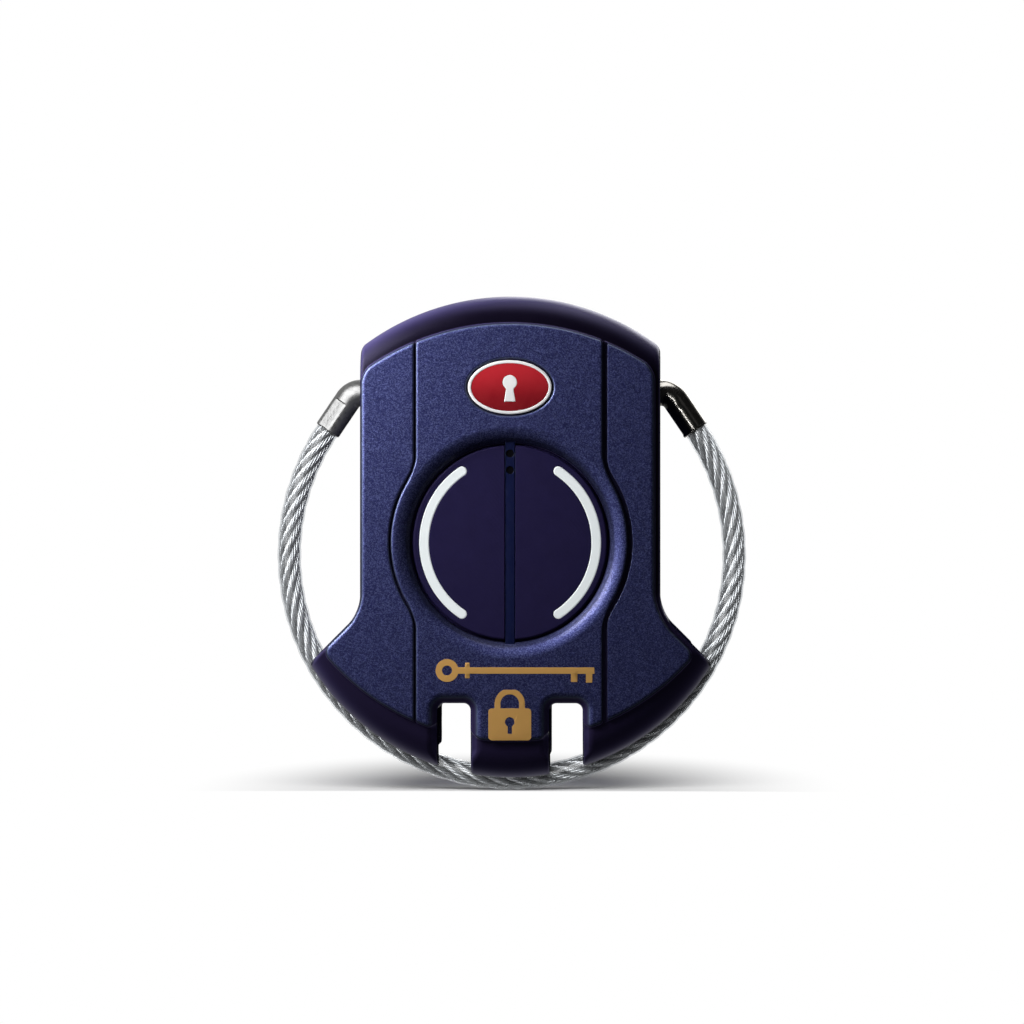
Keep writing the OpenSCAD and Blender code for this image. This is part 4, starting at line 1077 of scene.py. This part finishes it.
SLOT_MATERIAL = {
    "bar_plastic": BAR_BLUE, "lens_black": LENS_BLACK, "steel": STEEL, "seal_rubber": SEAL,
    "board_green": BOARD, "component_black": BLACK, "can_metal": ALUMINIUM, "pouch_foil": ALUMINIUM,
    "brass": BRASS, "flap_rubber": FLAP_RUBBER, "frame_plastic": BLACK, "socket_steel": SOCKET_STEEL,
    "key_brass": KEY_BRASS, "light_guide": LIGHT_GUIDE,
}


# ---- pieces ----


def grown(box, by):
    """A box made larger on every side."""
    return [(low - by, high + by) for low, high in box]


def build_shells():
    front_depths = graded(FRONT[2], 2 * FINE, BODY_D - 1.2, 0.8 * FINE)
    stand_in("front_shell", "skin", front_shell, FINE, "housing", "navy_paint", PAINT_FRONT,
             depths=front_depths)
    stand_in("rear_shell", "skin", rear_shell, 1.5 * FINE, "housing", "navy_paint", PAINT_REAR)


def same(field):
    """The piece as it is drawn, for the right-hand side."""
    return field


def build_button():
    for side, turn in (("right", same), ("left", left_of)):
        body = side + "_button"
        stand_in(body, "cap", turn(button_half), 0.8 * FINE, body, "button_rubber", RUBBER)
        stand_in(side + "_light_inlay", "strip", turn(light_inlay), FINE / 2, body, "light_guide",
                 LIGHT_GUIDE)
    stand_in("button_bar", "strip", button_bar, FINE / 2, "housing", "bar_plastic", BAR_BLUE)


def build_badge():
    for node, field, slot, paint in (
        ("badge_base", badge_base, "badge_white", BADGE_WHITE),
        ("badge_enamel", badge_enamel, "badge_red", BADGE_RED),
        ("badge_mark", badge_mark, "badge_white", BADGE_WHITE),
    ):
        stand_in(node, "face", field, FINE / 2, "housing", slot, paint, grown(flat_box(node), 0.15))


def build_prints():
    """Two plain gold prints, which stand for no node of their own."""
    across = (-10.8, 11.2)
    depth = (BODY_D - 0.15, BODY_D + 0.05)
    for name, field, up in (
        ("key_print", key_print, (-18.6, -14.6)),
        ("padlock_print", padlock_print, (-25.6, -18.9)),
    ):
        solid(name, field, [across, up, depth], FINE / 2, "housing", "brass", GOLD)


def build_loop():
    """Both elbows, the rope and its jacket. The bright pieces and the dark elbow are lit apart."""
    fixed = stand_in("fixed_elbow", "tube", fixed_elbow, ELBOW_STEP, "loop", "elbow_bright", ELBOW_BRIGHT)
    free = stand_in("free_elbow", "tube", free_elbow, ELBOW_STEP, "free_end", "elbow_dark", ELBOW_DARK)
    return [fixed, wire_rope(ROPE_STEEL), rope_jacket(JACKET_CLEAR)], free


def build_flap():
    stand_in("port_flap", "lid", port_flap, FLAP_STEP, "flap", "flap_rubber", FLAP_RUBBER)


def finish_cad_nodes():
    """The hard parts that are still shown as built get their material and softened edges."""
    slots = {s["node"]: s["material_slot"] for s in frame["record"]["subparts"]}
    for name, node in frame["nodes"].items():
        if node.hide_render:
            continue
        node.data.materials.clear()
        node.data.materials.append(SLOT_MATERIAL[slots[name]])
        size = min(node.dimensions)
        soft = node.modifiers.new("soft_edges", "BEVEL")
        soft.width = min(0.08 * MM, size * 0.08)
        soft.segments = 2
        soft.limit_method = "ANGLE"
        soft.angle_limit = math.radians(40)


# ---- studio ----

VIEW_WIDTH = 131.6  # mm of the lock's plane across the picture
VIEW_TURN = 1.6  # degrees the camera stands to the right of straight on
VIEW_MIDDLE = (0.1, -9, 3.9)  # what it looks at, in mm of the frame
FLOOR_REACH = 6.0  # the numbers from here on are in metres
FLOOR_FADE = (0.012, 0.044)  # distances over which the floor turns plain white
FLOOR_FRONT = (-0.013, -0.0085)  # depths over which it does so in front of the lock
FLOOR_GLOW = 0.2  # light the floor gives off to everything but the camera
WORLD_DARK = 0.012  # strength of the world in front of the lock, and behind it
WORLD_LIGHT = 0.5


def add_object(name, data):
    made = bpy.data.objects.new(name, data)
    bpy.context.scene.collection.objects.link(made)
    return made


def aim(thing, target):
    direction = Vector(target) - thing.location
    thing.rotation_euler = direction.to_track_quat("-Z", "Y").to_euler()


def softbox(name, place, target, size, power):
    lamp = bpy.data.lights.new(name, "AREA")
    lamp.shape = "RECTANGLE"
    lamp.size, lamp.size_y = size
    lamp.energy = power
    made = add_object(name, lamp)
    made.location = place
    aim(made, target)
    return made


def build_floor(level):
    """A white floor that fades to plain white well away from the lock."""
    mesh = bpy.data.meshes.new("floor")
    reach = FLOOR_REACH
    corners = [(-reach, -reach), (reach, -reach), (reach, reach), (-reach, reach)]
    mesh.from_pydata([(*corner, level) for corner in corners], [], [(0, 1, 2, 3)])
    floor = add_object("floor", mesh)
    floor.visible_glossy = False
    r = Recipe("floor_white")
    near = r.node("BsdfDiffuse", Color=r.mix(r.noise(0.02, 3), (0.87, 0.87, 0.87), (0.89, 0.89, 0.89)))
    far = r.node("Emission", Color=(1, 1, 1, 1), Strength=1.0)
    oval_place = r.node("Mapping", Vector=r.place, Scale=(1, 0.38, 0)).outputs[0]
    away = r.node("VectorMath", {"operation": "LENGTH"}, i0=oval_place).outputs["Value"]
    depth = r.node("SeparateXYZ", Vector=r.place).outputs["Y"]
    in_front = r.remap(depth, *FLOOR_FRONT, 1.0, 0.0)
    share = r.maths("MAXIMUM", r.remap(away, *FLOOR_FADE, 0.0, 1.0), in_front)
    blend = r.node("MixShader", Fac=share, i1=near.outputs[0], i2=far.outputs[0])
    dim = r.node("Emission", Color=(1, 1, 1, 1), Strength=FLOOR_GLOW)
    seen = r.node("LightPath").outputs["Is Camera Ray"]
    blend = r.node("MixShader", Fac=seen, i1=dim.outputs[0], i2=blend.outputs[0])
    r.tree.links.new(blend.outputs[0], r.out.inputs[0])
    mesh.materials.append(r.material)
    return floor


def build_world():
    """White to the camera. To the lock it's light behind and dark in front, darkest on the right."""
    world = bpy.data.worlds.new("studio")
    bpy.context.scene.world = world
    world.use_nodes = True
    tree = world.node_tree
    tree.nodes.clear()

    def new(kind):
        return tree.nodes.new("ShaderNode" + kind)

    out, coord, parts, ramp = new("OutputWorld"), new("TexCoord"), new("SeparateXYZ"), new("MapRange")
    glow, plain, choose, path = new("Background"), new("Background"), new("MixShader"), new("LightPath")
    right, shift = new("Math"), new("Math")
    right.operation = "MAXIMUM"
    right.inputs[1].default_value = 0.0
    shift.operation = "MULTIPLY_ADD"
    shift.inputs[1].default_value = -0.6
    limits = {"From Min": -0.15, "From Max": 0.5, "To Min": WORLD_DARK, "To Max": WORLD_LIGHT}
    for key, limit in limits.items():
        ramp.inputs[key].default_value = limit
    plain.inputs["Strength"].default_value = 1.0
    plain.inputs["Color"].default_value = (1, 1, 1, 1)
    for start, end in (
        (coord.outputs["Generated"], parts.inputs[0]),
        (parts.outputs["X"], right.inputs[0]),
        (right.outputs[0], shift.inputs[0]),
        (parts.outputs["Y"], shift.inputs[2]),
        (shift.outputs[0], ramp.inputs["Value"]),
        (ramp.outputs[0], glow.inputs["Strength"]),
        (path.outputs["Is Camera Ray"], choose.inputs[0]),
        (glow.outputs[0], choose.inputs[1]),
        (plain.outputs[0], choose.inputs[2]),
        (choose.outputs[0], out.inputs[0]),
    ):
        tree.links.new(start, end)


def light_only(lamps, collection_name, things, skip=False):
    """Makes lamps light only some things, or all but those things."""
    group = bpy.data.collections.new(collection_name)
    for thing in things:
        group.objects.link(thing)
    if skip:
        for member in group.collection_objects:
            member.light_linking.link_state = "EXCLUDE"
    for lamp in lamps:
        lamp.light_linking.receiver_collection = group


def build_studio(steel, dark_elbow):
    """Lamps for the body, for the bright steel, for a streak on the dark elbow and for the floor.

    Each group of lamps lights only its own things, the way a composed product picture is lit.
    """
    floor = build_floor(START_BOUNDS[0].z - 0.02 * MM)
    build_world()
    body_lamps = [
        softbox("key_light", (-0.068, -0.046, 0.049), (-0.005, 0, 0.0), (0.06, 0.06), 0.145),
        softbox("side_light", (-0.25, -0.10, 0.15), (0, -0.012, 0), (0.22, 0.28), 0.17),
        softbox("top_light", (0.05, -0.05, 0.30), (0, -0.01, 0), (0.25, 0.15), 0.26),
        softbox("fill_light", (0.22, -0.30, 0.02), (0, 0, 0), (0.10, 0.30), 0.004),
    ]
    broad = softbox("steel_light", (-0.22, -0.48, 0.28), (0, 0, 0), (0.72, 0.72), 6.8)
    streak = softbox("streak_light", (-0.06, -0.45, -0.02), (0.03, 0, 0.015), (0.018, 0.2), 0.14)
    overhead = softbox("floor_light", (0, -0.85, 0.45), (0, 0, -0.03), (1.1, 0.35), 13.5)
    back = softbox("back_light", (0.15, 0.45, 0.30), (0, 0, 0), (0.4, 0.4), 1.4)
    light_only([back], "not_floor", [floor], skip=True)
    light_only(body_lamps, "not_body", [floor] + steel, skip=True)
    light_only([broad], "steel_only", steel)
    light_only([streak], "free_elbow_only", [dark_elbow])
    light_only([overhead], "floor_only", [floor])


def build_camera():
    """A long lens at the height of the lock's middle, a little to its right."""
    camera = bpy.data.cameras.new("camera")
    camera.lens = 200
    camera.sensor_width = 36
    seen = add_object("camera", camera)
    distance = VIEW_WIDTH * MM * camera.lens / camera.sensor_width
    turn = math.radians(VIEW_TURN)
    target = Vector(VIEW_MIDDLE) * MM
    seen.location = target + distance * Vector((math.sin(turn), -math.cos(turn), 0))
    seen.rotation_euler = (math.pi / 2, 0, turn)
    bpy.context.scene.camera = seen
    bpy.context.scene.view_settings.view_transform = "Standard"


build_shells()
build_button()
build_badge()
build_prints()
steel_pieces, dark_elbow = build_loop()
build_flap()
finish_cad_nodes()
build_studio(steel_pieces, dark_elbow)
build_camera()
